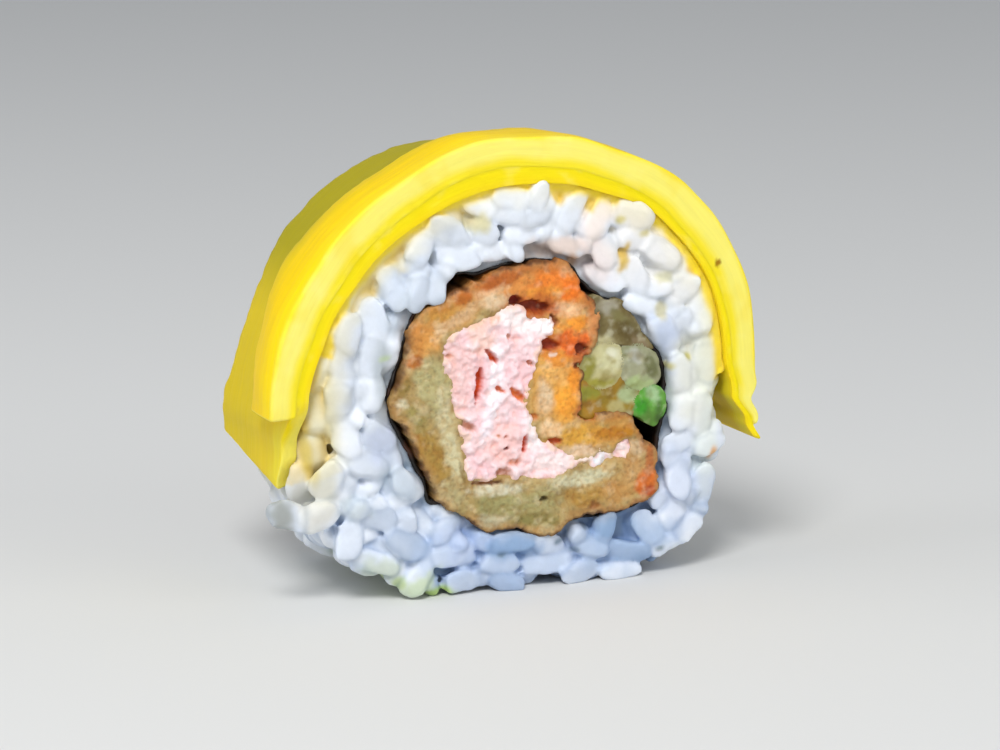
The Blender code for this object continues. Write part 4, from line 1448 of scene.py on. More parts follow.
@dataclass
class RiceRing:
    """The rice round the roll: a sticky body of pressed grains, with whole grains on it."""

    # One grain: its size and how far that varies, its mesh, its ends, its bend and its dents.
    length: float = 5.9
    width: float = 3.1
    thickness: float = 2.6
    spread: float = 0.1
    sides: int = 12
    rings: int = 10
    bluntness: float = 2.8
    fullness: float = 2.2
    taper: float = 0.12
    bend: float = 0.25
    dent: float = 0.3
    dent_size: float = 1.7

    # How the grains are laid. Those of the near face stand out, a little larger than they look.
    wanted: int = 900
    tries: int = 5000
    shown: Laying = Laying((0.9, 1.7), 0.5, 0.68)
    buried: Laying = Laying((1.7, 2.5), 0.8, 0.5)
    front_stand: tuple[float, float] = (0.4, 0.9)
    front_thickness: tuple[float, float] = (0.9, 1.1)
    front_growth: float = 1.06
    front_tip: float = 0.3
    upright: tuple[float, float] = (60.0, 125.0)
    turn_spread: float = 0.6
    into_seaweed: float = 0.2
    past_rim_covered: float = 0.25
    past_rim_open: float = 0.7
    into_board: float = 0.35

    # The knife: how deep it pressed the grains, how much that changes from one to the next,
    # how askew it lay, and how much of what stood beyond it was pressed in.
    cut_drop: float = 0.2
    cut_step: float = 0.4
    cut_lean: float = 0.2
    cut_share: float = 0.85

    # The body: how fine it is, its solid core, and the joint between its near and far part.
    near_voxel: float = 0.24
    far_voxel: float = 0.3
    kept_share: float = 0.74
    core_step: float = 3.0
    core_inset: float = 2.2
    hub_inset: float = 1.4
    rim_inset: float = 0.5
    resting: float = 1.0
    joint: float = -3.0
    joint_overlap: float = 0.4
    crisp_rounds: int = 1
    soft_rounds: int = 8
    softness: Dial = Dial(
        (0, 0.9), (25, 0.7), (45, 0.3), (60, 0.0), (150, 0.0), (165, 0.3), (235, 0.4), (250, 0.0), (322, 0.0),
        (335, 0.5), closed=True
    )

    # Its colours, from the whitest grain to the near-black painted shade along the seaweed. Apart from the
    # white and the gold, they are painted shade and painted yellow light.
    white: str = "ECF1F9"
    shadow_above: str = "AEB9C8"
    shadow_below: Tint = Tint("88A0C0", 1.0, -4.0, -16.0)
    # Painted shade in the seams and hollows between grains: its colour above and below, how far from a seam
    # and how deep it reaches, and how strong it is.
    crevice_shade_above: str = "D0D2D2"
    crevice_shade_below: Tint = Tint("B0C0D4", 1.0, -2.0, -18.0)
    seam_shade: tuple[float, float] = (0.2, 0.02)
    seam_shade_strength: float = 0.42
    sunken_shade: tuple[float, float] = (0.4, 2.0)
    sunken_shade_strength: float = 0.85
    # Painted yellow light from the slices on the rice under them.
    yellow_light: Tint = Tint("EFE0A0", 1.0, 3.4, 0.6)
    # Painted grey-blue shade in the deep gaps of the open rice.
    gap_shade: Tint = Tint("8CA2B8", 0.7, 0.42, 0.66)
    gap_shade_depth: tuple[float, float] = (1.2, 2.4)
    gold: Tint = Tint("E2BC1C", 0.85, 0.36, 0.56)
    gold_depth: tuple[float, float] = (0.7, 1.7)
    gold_reach: tuple[float, float] = (5.0, 2.0)
    # Painted yellow light, a glow on the rice right under the slices.
    glow: Tint = Tint("F4D824", 0.95, 1.1, 0.1)
    glow_depth: tuple[float, float] = (0.1, 0.5)
    glow_gap: float = 1.2
    # Painted shade beside the seaweed, and near-black painted shade in the gap against it.
    seaweed_shade: Tint = Tint("B4BABE", 0.55, 1.2, 0.0, True)
    stain_and_shade: Tint = Tint("2A2418", 0.9, 0.35, 0.05)
    seaweed_gap_depth: tuple[float, float] = (0.3, 0.9)
    tone_rounds: int = 2
    # How deep the grains' painted shade is round the axis: deepest round the lower side.
    shade_by_angle: Dial = Dial(
        (0, 0.4), (60, 0.3), (120, 0.42), (180, 0.5), (225, 0.6), (262, 1.0), (310, 1.0), (340, 0.6),
        closed=True
    )
    # How strong the painted yellow light under the slices is round the axis.
    yellow_light_by_angle: Dial = Dial(
        (0, 0.5), (60, 0.55), (95, 0.5), (125, 0.8), (160, 0.9), (185, 0.8), (199, 0.5), (230, 0.3),
        closed=True
    )
    gilt: Dial = Dial(
        (0, 0.2), (50, 0.6), (62, 1.0), (125, 1.0), (140, 0.6), (199, 0.5), (205, 0.0), closed=True
    )
    seed: int = 7

    def build(self) -> None:
        """Lays the grains, fuses them to a near and a far body, and publishes both."""
        draw = random.Random(self.seed)
        finish = STEAMED_RICE.build()
        every = self._front(draw)
        self.scatter(every, self.shown, draw)
        soft: list[Grain] = []
        self.scatter(soft, self.buried, draw)
        every += soft
        tones = np.array([draw.random() for _ in every])
        for way, name in ((-1, "rice_grains_near"), (1, "rice_grains_far")):
            points, faces, edges = self._body(every, way)
            tint = relaxed(self.paint(points, every, tones), edges, self.tone_rounds)
            publish(name, Shape(points, faces, tint), finish, Slot.RICE, "rice")
        log.info("rice: %d grains", len(every))

    def unit_grain(self) -> tuple[Rows, Faces]:
        """One grain along X with a length, width and thickness of 1.

        Returns:
            Its points, and its faces as tuples of point numbers.
        """
        points = [(-0.5, 0.0, 0.0)]
        for ring in range(1, self.rings):
            x = -math.cos(math.pi * ring / self.rings)
            girth = (1 - abs(x) ** self.bluntness) ** (1 / self.fullness) * (1 - self.taper * x) / 2
            for side in range(self.sides):
                turn = 2 * math.pi * side / self.sides
                points.append((x / 2, girth * math.cos(turn), girth * math.sin(turn)))
        points.append((0.5, 0.0, 0.0))
        last = len(points) - 1
        faces = ring_faces(self.rings - 1, self.sides, closed_rows=False, first=1)
        for side in range(self.sides):
            after = (side + 1) % self.sides
            faces.append((0, 1 + after, 1 + side))
            faces.append((last, last - self.sides + side, last - self.sides + after))
        return np.array(points), faces

    def size(self, draw: random.Random) -> Rows:
        """A grain's length, width and thickness, drawn round the usual ones."""
        share = [1 + draw.uniform(-self.spread, self.spread) for _ in range(3)]
        return np.array([self.length, self.width, self.thickness]) * share

    @staticmethod
    def axes(along: Rows, out: Rows, tip: float, draw: random.Random) -> Rows:
        """A grain's own axes as rows.

        Args:
            along: The way that it points.
            out: The way that it faces.
            tip: How far it may be tipped, as a share of a right angle.
            draw: The random draw.

        Returns:
            Three rows: along the grain, across it and through it.
        """
        facing = out + np.array([draw.uniform(-tip, tip) for _ in range(3)])
        facing /= np.linalg.norm(facing)
        along = along - facing * (along @ facing)
        along /= np.linalg.norm(along)
        return np.array([along, np.cross(facing, along), facing])

    def spot(self, patch: Patch, draw: random.Random, sink: float) -> tuple[Rows, Rows, Rows]:
        """A random place for a grain.

        Args:
            patch: Which surface it lies on.
            draw: The random draw.
            sink: How deep its middle lies under that surface.

        Returns:
            Its middle, the way that it points and the way that it faces.
        """
        turn = draw.uniform(0, 360)
        radial = np.array([math.cos(math.radians(turn)), 0.0, math.sin(math.radians(turn))])
        tangent = np.array([-radial[2], 0.0, radial[0]])
        rim, hub = float(RICE_RIM.at(turn)), float(WRAP_RADIUS.at(turn))
        if patch is Patch.OPEN_SIDE:
            middle = radial * (rim - sink)
            middle[1] = draw.uniform(-1, 1) * (PIECE_DEPTH / 2 - self.thickness / 2)
            spin = draw.uniform(0, math.pi)
            return middle, tangent * math.cos(spin) + np.array([0.0, math.sin(spin), 0.0]), radial
        way = -1 if patch is Patch.NEAR_FACE else 1
        middle = radial * math.sqrt(draw.uniform(hub**2, rim**2))
        middle[1] = way * (PIECE_DEPTH / 2 - sink)
        usual = math.pi / 2 if self.upright[0] < turn < self.upright[1] else 0.0
        spin = draw.gauss(usual, self.turn_spread)
        return middle, tangent * math.cos(spin) + radial * math.sin(spin), np.array([0.0, way, 0.0])

    def fits(self, grain: Grain) -> bool:
        """Whether a grain stays in the rice: clear of the seaweed, the slices and the board.

        Args:
            grain: The grain.

        Returns:
            True where it does.
        """
        spine, half = grain.spine, grain.size[1] / 2
        radius, degrees = radius_and_angle(spine[:, 0], spine[:, 2])
        low = radius - half > WRAP_RADIUS.at(degrees) - self.into_seaweed
        over = np.where(covered(degrees), self.past_rim_covered, self.past_rim_open)
        high = radius + half < RICE_RIM.at(degrees) + over
        return bool(low.all() and high.all() and (spine[:, 2] - half > BOARD - self.into_board).all())

    def scatter(self, grains: list[Grain], laying: Laying, draw: random.Random) -> None:
        """Lays grains at random on each surface until it is full.

        Args:
            grains: Those that lie there, to which the new ones are added.
            laying: How they are laid.
            draw: The random draw.
        """
        for patch in Patch:
            laid = 0
            for _ in range(self.tries):
                middle, along, out = self.spot(patch, draw, draw.uniform(*laying.sink))
                if patch is Patch.OPEN_SIDE and covered(radius_and_angle(middle[0], middle[2])[1]):
                    continue
                size = self.size(draw)
                grain = Grain(middle, self.axes(along, out, laying.tip, draw), size)
                if self.fits(grain) and grain.room(grains) > laying.closeness:
                    grains.append(grain)
                    laid += 1
                if laid == self.wanted:
                    break

    def _front(self, draw: random.Random) -> list[Grain]:
        """The grains that stand out on the near face.

        Args:
            draw: The random draw.

        Returns:
            Those grains.
        """
        grains = []
        for spot in FRONT_GRAINS:
            turn = math.radians(spot.turn)
            along = np.array([math.cos(turn), 0.0, math.sin(turn)])
            axes = self.axes(along, np.array([0.0, -1.0, 0.0]), self.front_tip, draw)
            thickness = self.thickness * draw.uniform(*self.front_thickness)
            size = np.array([spot.length, spot.width, thickness]) * self.front_growth
            sink = size[2] / 2 - draw.uniform(*self.front_stand)
            middle = np.array([spot.x, -(PIECE_DEPTH / 2 - sink - spot.depth), spot.z])
            grains.append(Grain(middle, axes, size))
        return grains

    def grains_mesh(self, grains: Sequence[Grain]) -> tuple[Rows, Faces]:
        """Several grains as one mesh.

        Args:
            grains: The grains.

        Returns:
            The points and the faces.
        """
        unit, unit_faces = self.unit_grain()
        bow = self.bend * (0.25 - unit[:, :1] ** 2) * np.array([[0, 1, 0]])
        points, faces = [], []
        for number, grain in enumerate(grains):
            bent = unit + math.sin(number * BEND_PACE) * bow
            placed = (bent * grain.size) @ grain.axes + grain.middle
            dents = self.dent * wander(placed, self.dent_size, number * DENT_PACE)
            points.append(self.sliced(placed + (placed - grain.middle) * dents[:, None], number))
            first = number * len(unit)
            faces += [tuple(first + i for i in face) for face in unit_faces]
        return np.vstack(points), faces

    def sliced(self, points: Rows, number: int) -> Rows:
        """A grain whose part beyond the cut face is pressed nearly flat, a little askew.

        Args:
            points: The grain's points.
            number: The grain's number, which gives how high and how askew it was cut.

        Returns:
            The points after the cut.
        """
        way = math.copysign(1.0, points[:, 1].mean())
        level = PIECE_DEPTH / 2 - self.cut_drop - self.cut_step * math.sin(number * CUT_PACE)
        lean = self.cut_lean * np.array([math.sin(number * LEAN_PACE), 0.0, math.sin(number * RISE_PACE + 1)])
        beyond = points[:, 1] * way + (points - points.mean(axis=0)) @ lean - level
        moved = points.copy()
        moved[:, 1] -= way * self.cut_share * np.maximum(beyond, 0)
        return moved

    def core(self, way: int) -> tuple[Rows, Faces]:
        """The near or the far part of the solid ring of rice under the grains.

        Args:
            way: -1 for the near part and 1 for the far one.

        Returns:
            The points and the faces.
        """
        turns = np.arange(0, 360, self.core_step)
        resting = covered(turns) & (under_slices(turns) < self.resting)
        rim = RICE_RIM.at(turns) + np.where(resting, under_slices(turns) + 0.1, -self.core_inset)
        middle = RICE_RIM.at(turns) - self.core_inset - 0.1
        hub = WRAP_RADIUS.at(turns) + 0.2
        insets = (self.hub_inset, self.core_inset, self.rim_inset)
        hub_end, end, rim_end = (way * (PIECE_DEPTH / 2 - inset) for inset in insets)
        joint = self.joint - way * self.joint_overlap
        loop = [(hub, joint), (hub, hub_end), (hub + 1.0, end), (middle, end), (rim, rim_end), (rim, joint)]
        rows = [on_face(polar(radius, turns), y) for radius, y in loop[::way]]
        return np.vstack(rows), ring_faces(len(rows), len(turns), closed_rows=True)

    def _body(self, every: Sequence[Grain], way: int) -> tuple[Rows, Faces, Rows]:
        """Fuses the near or the far part of the core and its grains.

        Args:
            every: All the grains.
            way: -1 for the near part and 1 for the far one.

        Returns:
            The points, the faces and the edges as pairs of point numbers.
        """
        part = [grain for grain in every if way * (grain.middle[1] - self.joint) > -self.joint_overlap]
        core_points, core_faces = self.core(way)
        points, faces = self.grains_mesh(part)
        count = len(core_points)
        faces = core_faces + [tuple(count + i for i in face) for face in faces]
        mould = bpy.data.meshes.new("rice_mould")
        mould.from_pydata(np.vstack([core_points, points]).tolist(), [], faces)
        holder = bpy.data.objects.new("rice_mould", mould)
        bpy.context.scene.collection.objects.link(holder)
        fuse = holder.modifiers.new("fuse", "REMESH")
        fuse.mode = "VOXEL"
        fuse.voxel_size = self.near_voxel if way < 0 else self.far_voxel
        thin = holder.modifiers.new("thin", "DECIMATE")
        thin.ratio = self.kept_share
        graph = bpy.context.evaluated_depsgraph_get()
        body = bpy.data.meshes.new_from_object(holder.evaluated_get(graph))
        points = np.zeros(len(body.vertices) * 3)
        body.vertices.foreach_get("co", points)
        edges = np.zeros(len(body.edges) * 2, int)
        body.edges.foreach_get("vertices", edges)
        faces = [tuple(face.vertices) for face in body.polygons]
        bpy.data.objects.remove(holder, do_unlink=True)
        bpy.data.meshes.remove(mould)
        bpy.data.meshes.remove(body)
        edges = edges.reshape(-1, 2)
        crisp = relaxed(points.reshape(-1, 3), edges, self.crisp_rounds)
        soft = relaxed(crisp, edges, self.soft_rounds)
        _, degrees = radius_and_angle(crisp[:, 0], crisp[:, 2])
        return mix(crisp, soft, self.softness.at(degrees)), faces, edges

    def crowding(self, points: Rows, every: Sequence[Grain]) -> tuple[Rows, Rows, Rows]:
        """How the grains lie round each point.

        Args:
            points: Rows of three coordinates.
            every: All the grains.

        Returns:
            The number of the closest grain, how far its middle line is and how much further
            that of the next one is, both in widths.
        """
        tree = kdtree.KDTree(sum(len(grain.spine) for grain in every))
        for number, grain in enumerate(every):
            for place in grain.spine.tolist():
                tree.insert(place, number)
        tree.balance()
        closest, near, beyond = [], [], []
        for point in points.tolist():
            found = tree.find_n(point, NEIGHBOURS)
            owner, distance = found[0][1], found[0][2]
            others = [far for _, number, far in found if number != owner]
            closest.append(owner)
            near.append(distance)
            beyond.append((others[0] if others else found[-1][2]) - distance)
        return np.array(closest), np.array(near) / self.width, np.array(beyond) / self.width

    def paint(self, points: Rows, every: Sequence[Grain], tones: Rows) -> Rows:
        """Bluish white grains, each in its own tone, with painted shade in the seams, hollows and gaps and
        painted yellow light under the slices.

        Args:
            points: Rows of three coordinates.
            every: All the grains.
            tones: How dim each grain is, from 0 to 1.

        Returns:
            A linear colour for each point.
        """
        radius, degrees = radius_and_angle(points[:, 0], points[:, 2])
        grain, near, beyond = self.crowding(points, every)
        height, depth = points[:, 2], PIECE_DEPTH / 2 - np.abs(points[:, 1])
        from_rim, from_seaweed = RICE_RIM.at(degrees) - radius, radius - WRAP_RADIUS.at(degrees)
        hidden = np.minimum(depth, np.maximum(from_rim + 0.6, 0))
        under = covered(degrees)

        # Each grain's own random tone, mixed towards a grey-blue painted shade that deepens towards the
        # bottom and, by the shade dial, round the lower side.
        tone_and_shade = self.shade_by_angle.at(degrees) * (0.05 + 0.95 * tones[grain] ** 1.5) + 0.15 * wander(points, 2.0, 1.0)
        shadow = self.shadow_below.over(plain(self.shadow_above, len(points)), height)
        colour = mix(plain(self.white, len(points)), shadow, np.clip(tone_and_shade, 0, 1))
        colour = painted(colour, points[:, [0, 2]], RICE_STAINS_AND_SHADE)

        # Painted shade in the seams and in the hollows between the grains, greyer and bluer towards the
        # bottom.
        crevice_shade = self.crevice_shade_below.over(plain(self.crevice_shade_above, len(points)), height)
        sunken_shade = ease(*self.sunken_shade, hidden + 0.4 * wander(points, 1.2, 2.0))
        colour = mix(colour, colour * crevice_shade, self.seam_shade_strength * ease(*self.seam_shade, beyond))
        colour = mix(colour, colour * crevice_shade, self.sunken_shade_strength * sunken_shade * ease(1.0, 3.0, from_rim))

        # Painted yellow light from the slices above, painted grey-blue shade in the open gaps, and gold mango
        # seen through the gaps under the slices.
        yellow_lit = self.yellow_light_by_angle.at(degrees) * under * (0.4 + 0.6 * sunken_shade)
        colour = self.yellow_light.over(colour, from_rim + wander(points, 1.5, 4.0), yellow_lit)
        colour = self.gap_shade.over(colour, near, ease(*self.gap_shade_depth, hidden) * ~under)
        gilded = ease(*self.gold_depth, depth) * ease(*self.gold_reach, from_rim)
        colour = self.gold.over(colour, near, gilded * self.gilt.at(degrees) * under)
        glowing = ease(*self.glow_depth, depth) * (under_slices(degrees) < self.glow_gap) * under
        colour = self.glow.over(colour, from_rim + 0.3 * wander(points, 1.0, 5.0), glowing)

        # Painted shade beside the seaweed, and near-black painted shade on the sunken rice right against it.
        colour = self.seaweed_shade.over(colour, from_seaweed + 0.4 * wander(points, 1.2, 3.0))
        return self.stain_and_shade.over(colour, from_seaweed, ease(*self.seaweed_gap_depth, hidden))


# Mango slices

BACK_LIFT = Dial((40, 0.1), (90, 0.6), (120, 1.5), (140, 1.3), (160, 0.1), (172, 0.1), (185, 0.9), (201, 1.0))
BEND_RADIUS = 26.0


@dataclass
class MangoSlice:
    """A slice of ripe mango, bent over the rice, with a clean cut face towards the viewer.

    Its edges are depths and its ends are angles, at its front and at its back.
    """

    piece: str
    node: str
    thickness: Dial
    near_edge: Dial
    far_edge: Dial
    right_end: tuple[float, float]
    left_end: tuple[float, float]
    on: "MangoSlice | None" = None
    overlap: float = 0.3
    phase: float = 2.0

    # Its mesh.
    steps_across: int = 44
    steps_out: int = 12
    nose_steps: int = 7
    turn_step: float = 0.9

    # How sharp its corners are, and how uneven its edge and its surfaces.
    outer_corner: Dial = Dial((-17, 0.35), (201, 0.35))
    inner_corner: float = 0.04
    end_corner: float = 0.35
    end_round: float = 0.35
    corner_share: float = 0.12
    inner_share: float = 0.02
    nose_share: float = 0.045
    back_wave: float = 0.35
    back_taper: float = 0.25
    swell: float = 0.08
    swell_size: tuple[float, float, float] = (12.0, 6.0, 1.0)
    fibre: float = 0.035
    fibre_size: tuple[float, float] = (5.0, 0.5)
    grit: float = 0.015
    grit_size: tuple[float, float] = (1.5, 0.5)

    # Its colours: the cut face from its inner border out, and the skin side from front to back, the last of
    # which is an olive painted shade.
    cut_tints: tuple[str, str, str] = ("F6E02C", "F6EA70", "F6E02C")
    skin_and_shade_tints: tuple[str, str, str] = ("FCDC00", "F4CE00", "D0B810")
    washes: tuple[Wash, ...] = (
        Wash("FFF7A6", 0.16, 0.1, 0.8, size=3.0),
        Wash("F2D200", 0.3, 0.1, 0.8, size=3.4, phase=4),
    )
    # How strong the olive painted shade on the back of the skin side is round the axis, strongest on the
    # upper left.
    shaded: Dial = Dial((-17, 0.0), (75, 0.2), (100, 1.0), (142, 1.0), (165, 0.3), (201, 0.3))
    dots: tuple[Stain, ...] = ()

    def topside(self, turns: Rows, y: Rows) -> Rows:
        """The radius of the slice's outer side.

        Args:
            turns: Angles.
            y: The depth at each.

        Returns:
            A radius for each.
        """
        near, far = self.near_edge.at(turns), self.far_edge.at(turns)
        across = np.clip((y - near) / (far - near), 0, 1)
        return self.underside(turns, y) + self._thick(turns, y) * (1 - self.back_taper * across**4 / 2)

    def underside(self, turns: Rows, y: Rows) -> Rows:
        """The radius of the slice's side that lies on the rice, or on the slice under it.

        Args:
            turns: Angles.
            y: The depth at each.

        Returns:
            A radius for each.
        """
        if self.on:
            return self.on.topside(turns, y) - self.overlap
        across = np.clip(0.5 + y / PIECE_DEPTH, 0, 1)
        return SLICE_BED.at(turns) + BACK_LIFT.at(turns) * across**2

    def _thick(self, turns: Rows, y: Rows) -> Rows:
        """The slice's thickness, which swells and thins a little."""
        place = np.column_stack([turns, y, np.full(len(turns), self.phase)])
        return self.thickness.at(turns) * (1 + self.swell * wander(place, self.swell_size, self.phase))

    def section(self) -> Rows:
        """The section's outline, from the underside's front round to the top's front.

        Returns:
            Rows of the share across, to the back, the share out, and the share of a corner's
            size by which the point stands behind the cut face.
        """
        shares = np.linspace(0.0, 1.0, self.steps_across)
        bends = np.radians([18, 36, 54, 72])
        reach = 1 - self.nose_share
        bottom = [(share, 0.0, 1.0) for share in reach * shares**1.1]
        nose = [
            (reach + self.nose_share * math.cos(turn), 0.5 + 0.5 * math.sin(turn), 1.0)
            for turn in np.radians(np.linspace(-90, 90, self.nose_steps + 2)[1:-1])
        ]
        top = [(share, 1.0, 1.0) for share in reach * shares[::-1] ** 1.3]
        upper = [(0.0, 1 - self.corner_share * (1 - math.cos(bend)), 1 - math.sin(bend)) for bend in bends]
        outs = np.linspace(1 - self.corner_share, self.inner_share, self.steps_out)
        front = [(0.0, out, 0.0) for out in outs]
        lower = [(0.0, self.inner_share * (1 - math.cos(bend)), 1 - math.sin(bend)) for bend in bends[::-1]]
        return np.array(bottom + nose + top + upper + front + lower)

    def build(self) -> None:
        """Builds the slice, paints it and publishes it."""
        section = self.section()
        span = self.left_end[0] - self.right_end[0]
        tip = self.end_round / (math.radians(span) * BEND_RADIUS)
        ends = tip * np.array([0.12, 0.45, 1.0])
        shares = np.unique(np.concatenate([np.linspace(0, 1, round(span / self.turn_step)), ends, 1 - ends]))
        rows, tints, lies = zip(*(self._station(section, share, tip) for share in shares))
        around, count = len(section), len(rows)
        faces = [face[::-1] for face in ring_faces(count, around, closed_rows=False)]
        faces += self._cap(range(around), flip=False)
        faces += self._cap(range((count - 1) * around, count * around), flip=True)
        shape = Shape(np.vstack(rows), faces, np.vstack(tints), np.vstack(lies))
        publish(self.piece, shape, RIPE_MANGO.build(), Slot.MANGO, self.node)

    def _station(self, section: Rows, share: float, tip: float) -> tuple[Rows, Rows, Rows]:
        """One section of the slice in its place.

        Args:
            section: The section's outline.
            share: Where it stands, from 0 at the right end to 1 at the left one.
            tip: How long the rounded tip of each end is, as such a share.

        Returns:
            Its points, their colours, and where they lay in the uncut mango.
        """
        across, out, setback = section.T
        front = setback < 1
        first, last = (end[0] + (end[1] - end[0]) * across for end in (self.right_end, self.left_end))
        turns = first + (last - first) * share
        end = min(share, 1 - share)
        pinch = 0.0 if end >= tip else 1 - math.sqrt(max(0.0, 1 - (1 - end / tip) ** 2))
        near, far = self.near_edge.at(turns), self.far_edge.at(turns)

        place = np.column_stack([turns / 3, np.full(len(turns), self.phase), across * 4])
        wave = wander(place, (2.3, 1, 9), 1.0) + 0.4 * wander(place, (0.8, 1, 9), 2.0)
        y = near + (far - near) * across + across**3 * 2 * self.back_wave * wave
        thick = self._thick(turns, y)
        radius = self.underside(turns, y) + thick * (0.5 + (out - 0.5) * (1 - self.back_taper * across**4))
        radius -= pinch * self.end_corner * (2 * out - 1)
        y = y + pinch * self.end_corner * (1 - 2 * across)
        y = y + setback * np.where(out > 0.5, self.outer_corner.at(turns), self.inner_corner)

        along = np.radians(turns) * BEND_RADIUS
        fibres = np.column_stack([along, y, out * 3])
        radius += self.fibre * wander(fibres, (*self.fibre_size, 1.0), self.phase + 3) * (out > 0.5)
        grit = wander(np.column_stack([along, out * thick, out * 0]), (*self.grit_size, 1.0), 5.0)
        y = y + self.grit * front * grit
        flat = polar(radius, turns)
        tint = self.paint(turns, y, out, end < tip * 0.5)
        tint = np.where(front[:, None], painted(tint, flat, self.dots), tint)
        return on_face(flat, y), tint, np.column_stack([along, y, out * thick])

    def _cap(self, ring: range, flip: bool) -> Faces:
        """Faces that close the slice at an end, in strips between its underside and its top.

        Args:
            ring: The numbers of the end's points.
            flip: Whether the faces run the other way round.

        Returns:
            The faces.
        """
        low, high = 0, 2 * self.steps_across + self.nose_steps - 1
        faces = [(*ring[high:], ring[low])]
        while high - low >= 3:
            faces.append((ring[low], ring[low + 1], ring[high - 1], ring[high]))
            low, high = low + 1, high - 1
        if high - low == 2:
            faces.append((ring[low], ring[low + 1], ring[high]))
        return [face[::-1] if flip else face for face in faces]

    def paint(self, turns: Rows, y: Rows, out: Rows, at_end: bool) -> Rows:
        """Pale yellow where it was cut, and gold towards the back of its outer side, with olive painted shade
        there on its upper left.

        Args:
            turns: The angle of each point.
            y: Its depth.
            out: How far out from the rice, from 0 to 1.
            at_end: Whether these points lie on an end.

        Returns:
            A linear colour for each point.
        """
        count = len(turns)
        phase = np.full(count, self.phase)
        border = out + 0.12 * wander(np.column_stack([turns / 9, out, phase]), 1.0, self.phase)
        inner, middle, outer = self.cut_tints
        cut = Tint(middle, 1.0, 0.1, 0.45).over(plain(inner, count), border)
        cut = Tint(outer, 1.0, 0.8, 1.05).over(cut, border)
        for wash in self.washes:
            place = np.column_stack([np.radians(turns) * BEND_RADIUS, out * 3, phase])
            cut = wash.laid(cut, place, self.phase)
        behind = y - self.near_edge.at(turns)
        streaked = behind + 1.6 * wander(np.column_stack([turns / 14, y / 1.1, out]), 1.0, 7.0)
        bright, gold, olive_shade = self.skin_and_shade_tints
        skin = Tint(gold, 1.0, 1.0, 5.0).over(plain(bright, count), streaked)
        # Olive painted shade towards the back, as far as the shaded dial lets it.
        skin = Tint(olive_shade, 1.0, 4.0, 13.0).over(skin, streaked, self.shaded.at(turns))
        shown = np.ones(count) if at_end else ease(0.9, 0.15, behind)
        return mix(skin, cut, shown)


UNDER_SLICE = MangoSlice(
    piece="mango_under_slice",
    node="mango_under",
    thickness=Dial((-17, 1.1), (40, 1.2), (70, 2.0), (100, 2.4), (135, 1.8), (201, 1.8)),
    near_edge=Dial((-17, -11.5), (178, -11.5), (192, -8.5), (201, -6.5)),
    far_edge=Dial((-17, 11.3), (30, 11.4), (90, 10.6), (150, 11.0), (201, 11.5)),
    right_end=(-15.5, -16.5),
    left_end=(200.5, 194.0),
    steps_across=60,
    outer_corner=Dial((-17, 0.3), (-8, 0.3), (-5, 0.03), (181, 0.03), (184, 0.35), (201, 0.35)),
    phase=2.0,
    cut_tints=("F0D41C", "F6DE14", "F6E02C"),
    skin_and_shade_tints=("EEDA2C", "E6C81C", "A69A18"),
    dots=(
        Stain("F2E870", -26.4, -6.6, 3.4, 14.0, -12, 0.7),
        Stain("9A901C", 26.9, -6.6, 1.6, 4.0, 20, 0.8),
    ),
)
OVER_SLICE = MangoSlice(
    piece="mango_over_slice",
    node="mango_over",
    thickness=Dial(
        (-13, 0.7), (-8, 1.6), (-2, 2.7), (4, 3.2), (20, 3.55), (36, 4.0), (46, 3.95), (62, 3.6), (90, 3.45),
        (155, 3.6), (183, 3.0)
    ),
    near_edge=Dial((-17, -11.515), (201, -11.515)),
    inner_corner=0.05,
    far_edge=Dial((-13, -7.5), (-8, -6.5), (20, -4.0), (75, -1.5), (110, -2.8), (150, -1.5), (183, -4.5)),
    right_end=(-12.5, -8.0),
    left_end=(182.5, 183.0),
    on=UNDER_SLICE,
    phase=5.0,
    steps_out=20,
    turn_step=0.6,
    dots=(Stain("96640E", 24.7, 13.2, 0.8, 0.8, 0, 0.9, soft=0.9),),
)


# Studio


@dataclass(frozen=True)
class SoftBox:
    """A soft studio light: where it stands seen from the piece, how wide and how strong."""

    name: str
    azimuth: float
    elevation: float
    distance: float
    width: float
    watts: float
    colour: str = "FFFFFF"


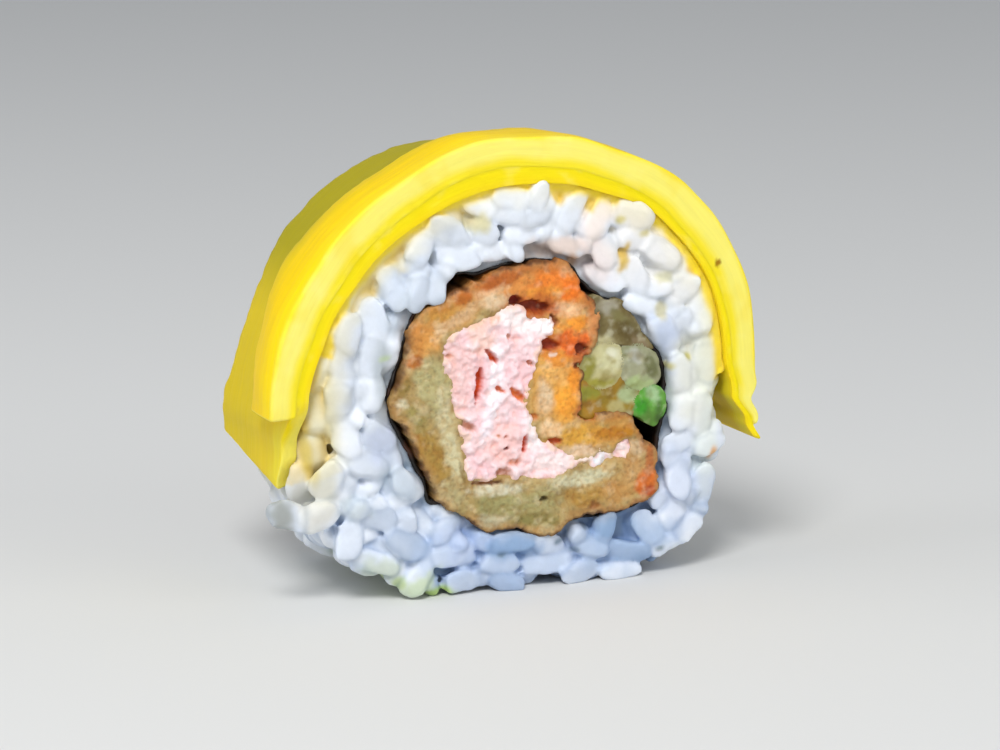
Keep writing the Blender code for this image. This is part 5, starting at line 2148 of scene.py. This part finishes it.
@dataclass
class Studio:
    """The pale floor, the soft lights, and the camera at the photograph's viewing angle."""

    azimuth: float = -22.0
    elevation: float = 12.0
    distance: float = 0.4
    aim: tuple[float, float, float] = (0.00192533, 0.0, 0.02303883)
    frame_width: float = 0.118
    sensor: float = 36.0
    floor_size: float = 4.0
    floor_tint: str = "DCDCDA"
    world_tint: str = "E8ECF2"
    world_strength: float = 0.5
    lights: tuple[SoftBox, ...] = (
        SoftBox("key_light", -34, 48, 0.75, 0.28, 3.7),
        SoftBox("left_light", -100, 20, 0.8, 0.5, 1.2),
        SoftBox("right_light", 40, 20, 0.8, 0.6, 1.2),
    )

    @staticmethod
    def direction(azimuth: float, elevation: float) -> Vector:
        """The way from the piece to something at this azimuth and elevation."""
        a, e = math.radians(azimuth), math.radians(elevation)
        return Vector((math.sin(a) * math.cos(e), -math.cos(a) * math.cos(e), math.sin(e)))

    def build(self) -> None:
        """Builds the floor, the lights, the world and the camera."""
        self._floor()
        self._world()
        for light in self.lights:
            self._light(light)
        self._camera()

    def _floor(self) -> None:
        """A plain pale floor under the piece."""
        half = self.floor_size / 2
        mesh = bpy.data.meshes.new("floor")
        corners = [(-half, -half, 0), (half, -half, 0), (half, half, 0), (-half, half, 0)]
        mesh.from_pydata(corners, [], [(0, 1, 2, 3)])
        floor = bpy.data.objects.new("floor", mesh)
        bpy.context.scene.collection.objects.link(floor)
        material = bpy.data.materials.new("matt_floor")
        material.use_nodes = True
        shader = material.node_tree.nodes["Principled BSDF"]
        shader.inputs["Base Color"].default_value = (*srgb(self.floor_tint), 1.0)
        shader.inputs["Roughness"].default_value = 0.9
        mesh.materials.append(material)

    def _world(self) -> None:
        """A plain pale surround."""
        world = bpy.data.worlds.new("studio")
        world.use_nodes = True
        background = world.node_tree.nodes["Background"]
        background.inputs["Color"].default_value = (*srgb(self.world_tint), 1.0)
        background.inputs["Strength"].default_value = self.world_strength
        bpy.context.scene.world = world
        bpy.context.scene.view_settings.view_transform = "Standard"

    def _light(self, box: SoftBox) -> None:
        """Adds one soft light, pointed at the piece.

        Args:
            box: The light.
        """
        lamp = bpy.data.lights.new(box.name, "AREA")
        lamp.shape = "DISK"
        lamp.size = box.width
        lamp.energy = box.watts
        lamp.color = srgb(box.colour)
        light = bpy.data.objects.new(box.name, lamp)
        way = self.direction(box.azimuth, box.elevation)
        light.location = Vector(self.aim) + way * box.distance
        light.rotation_mode = "QUATERNION"
        light.rotation_quaternion = (-way).to_track_quat("-Z", "Y")
        bpy.context.scene.collection.objects.link(light)

    def _camera(self) -> None:
        """The camera, whose frame is as wide as stated where the piece stands."""
        lens = bpy.data.cameras.new("camera")
        lens.sensor_width = self.sensor
        lens.lens = self.sensor * self.distance / self.frame_width
        camera = bpy.data.objects.new("camera", lens)
        way = self.direction(self.azimuth, self.elevation)
        camera.location = Vector(self.aim) + way * self.distance
        camera.rotation_mode = "QUATERNION"
        camera.rotation_quaternion = (-way).to_track_quat("-Z", "Y")
        bpy.context.scene.collection.objects.link(camera)
        bpy.context.scene.camera = camera


def write_sizes() -> None:
    """Updates the scene's view layer.
    """
    bpy.context.view_layer.update()


def main() -> None:
    """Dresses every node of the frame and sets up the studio."""
    logging.basicConfig(level=logging.INFO, format="%(name)s %(message)s")
    SeaweedSheet().build()
    FriedCoat().build()
    PinkFlesh().build()
    for stick in CUCUMBER_STICKS:
        stick.build()
    RiceRing().build()
    UNDER_SLICE.build()
    OVER_SLICE.build()
    Studio().build()
    write_sizes()


if __name__ == "__main__":
    main()
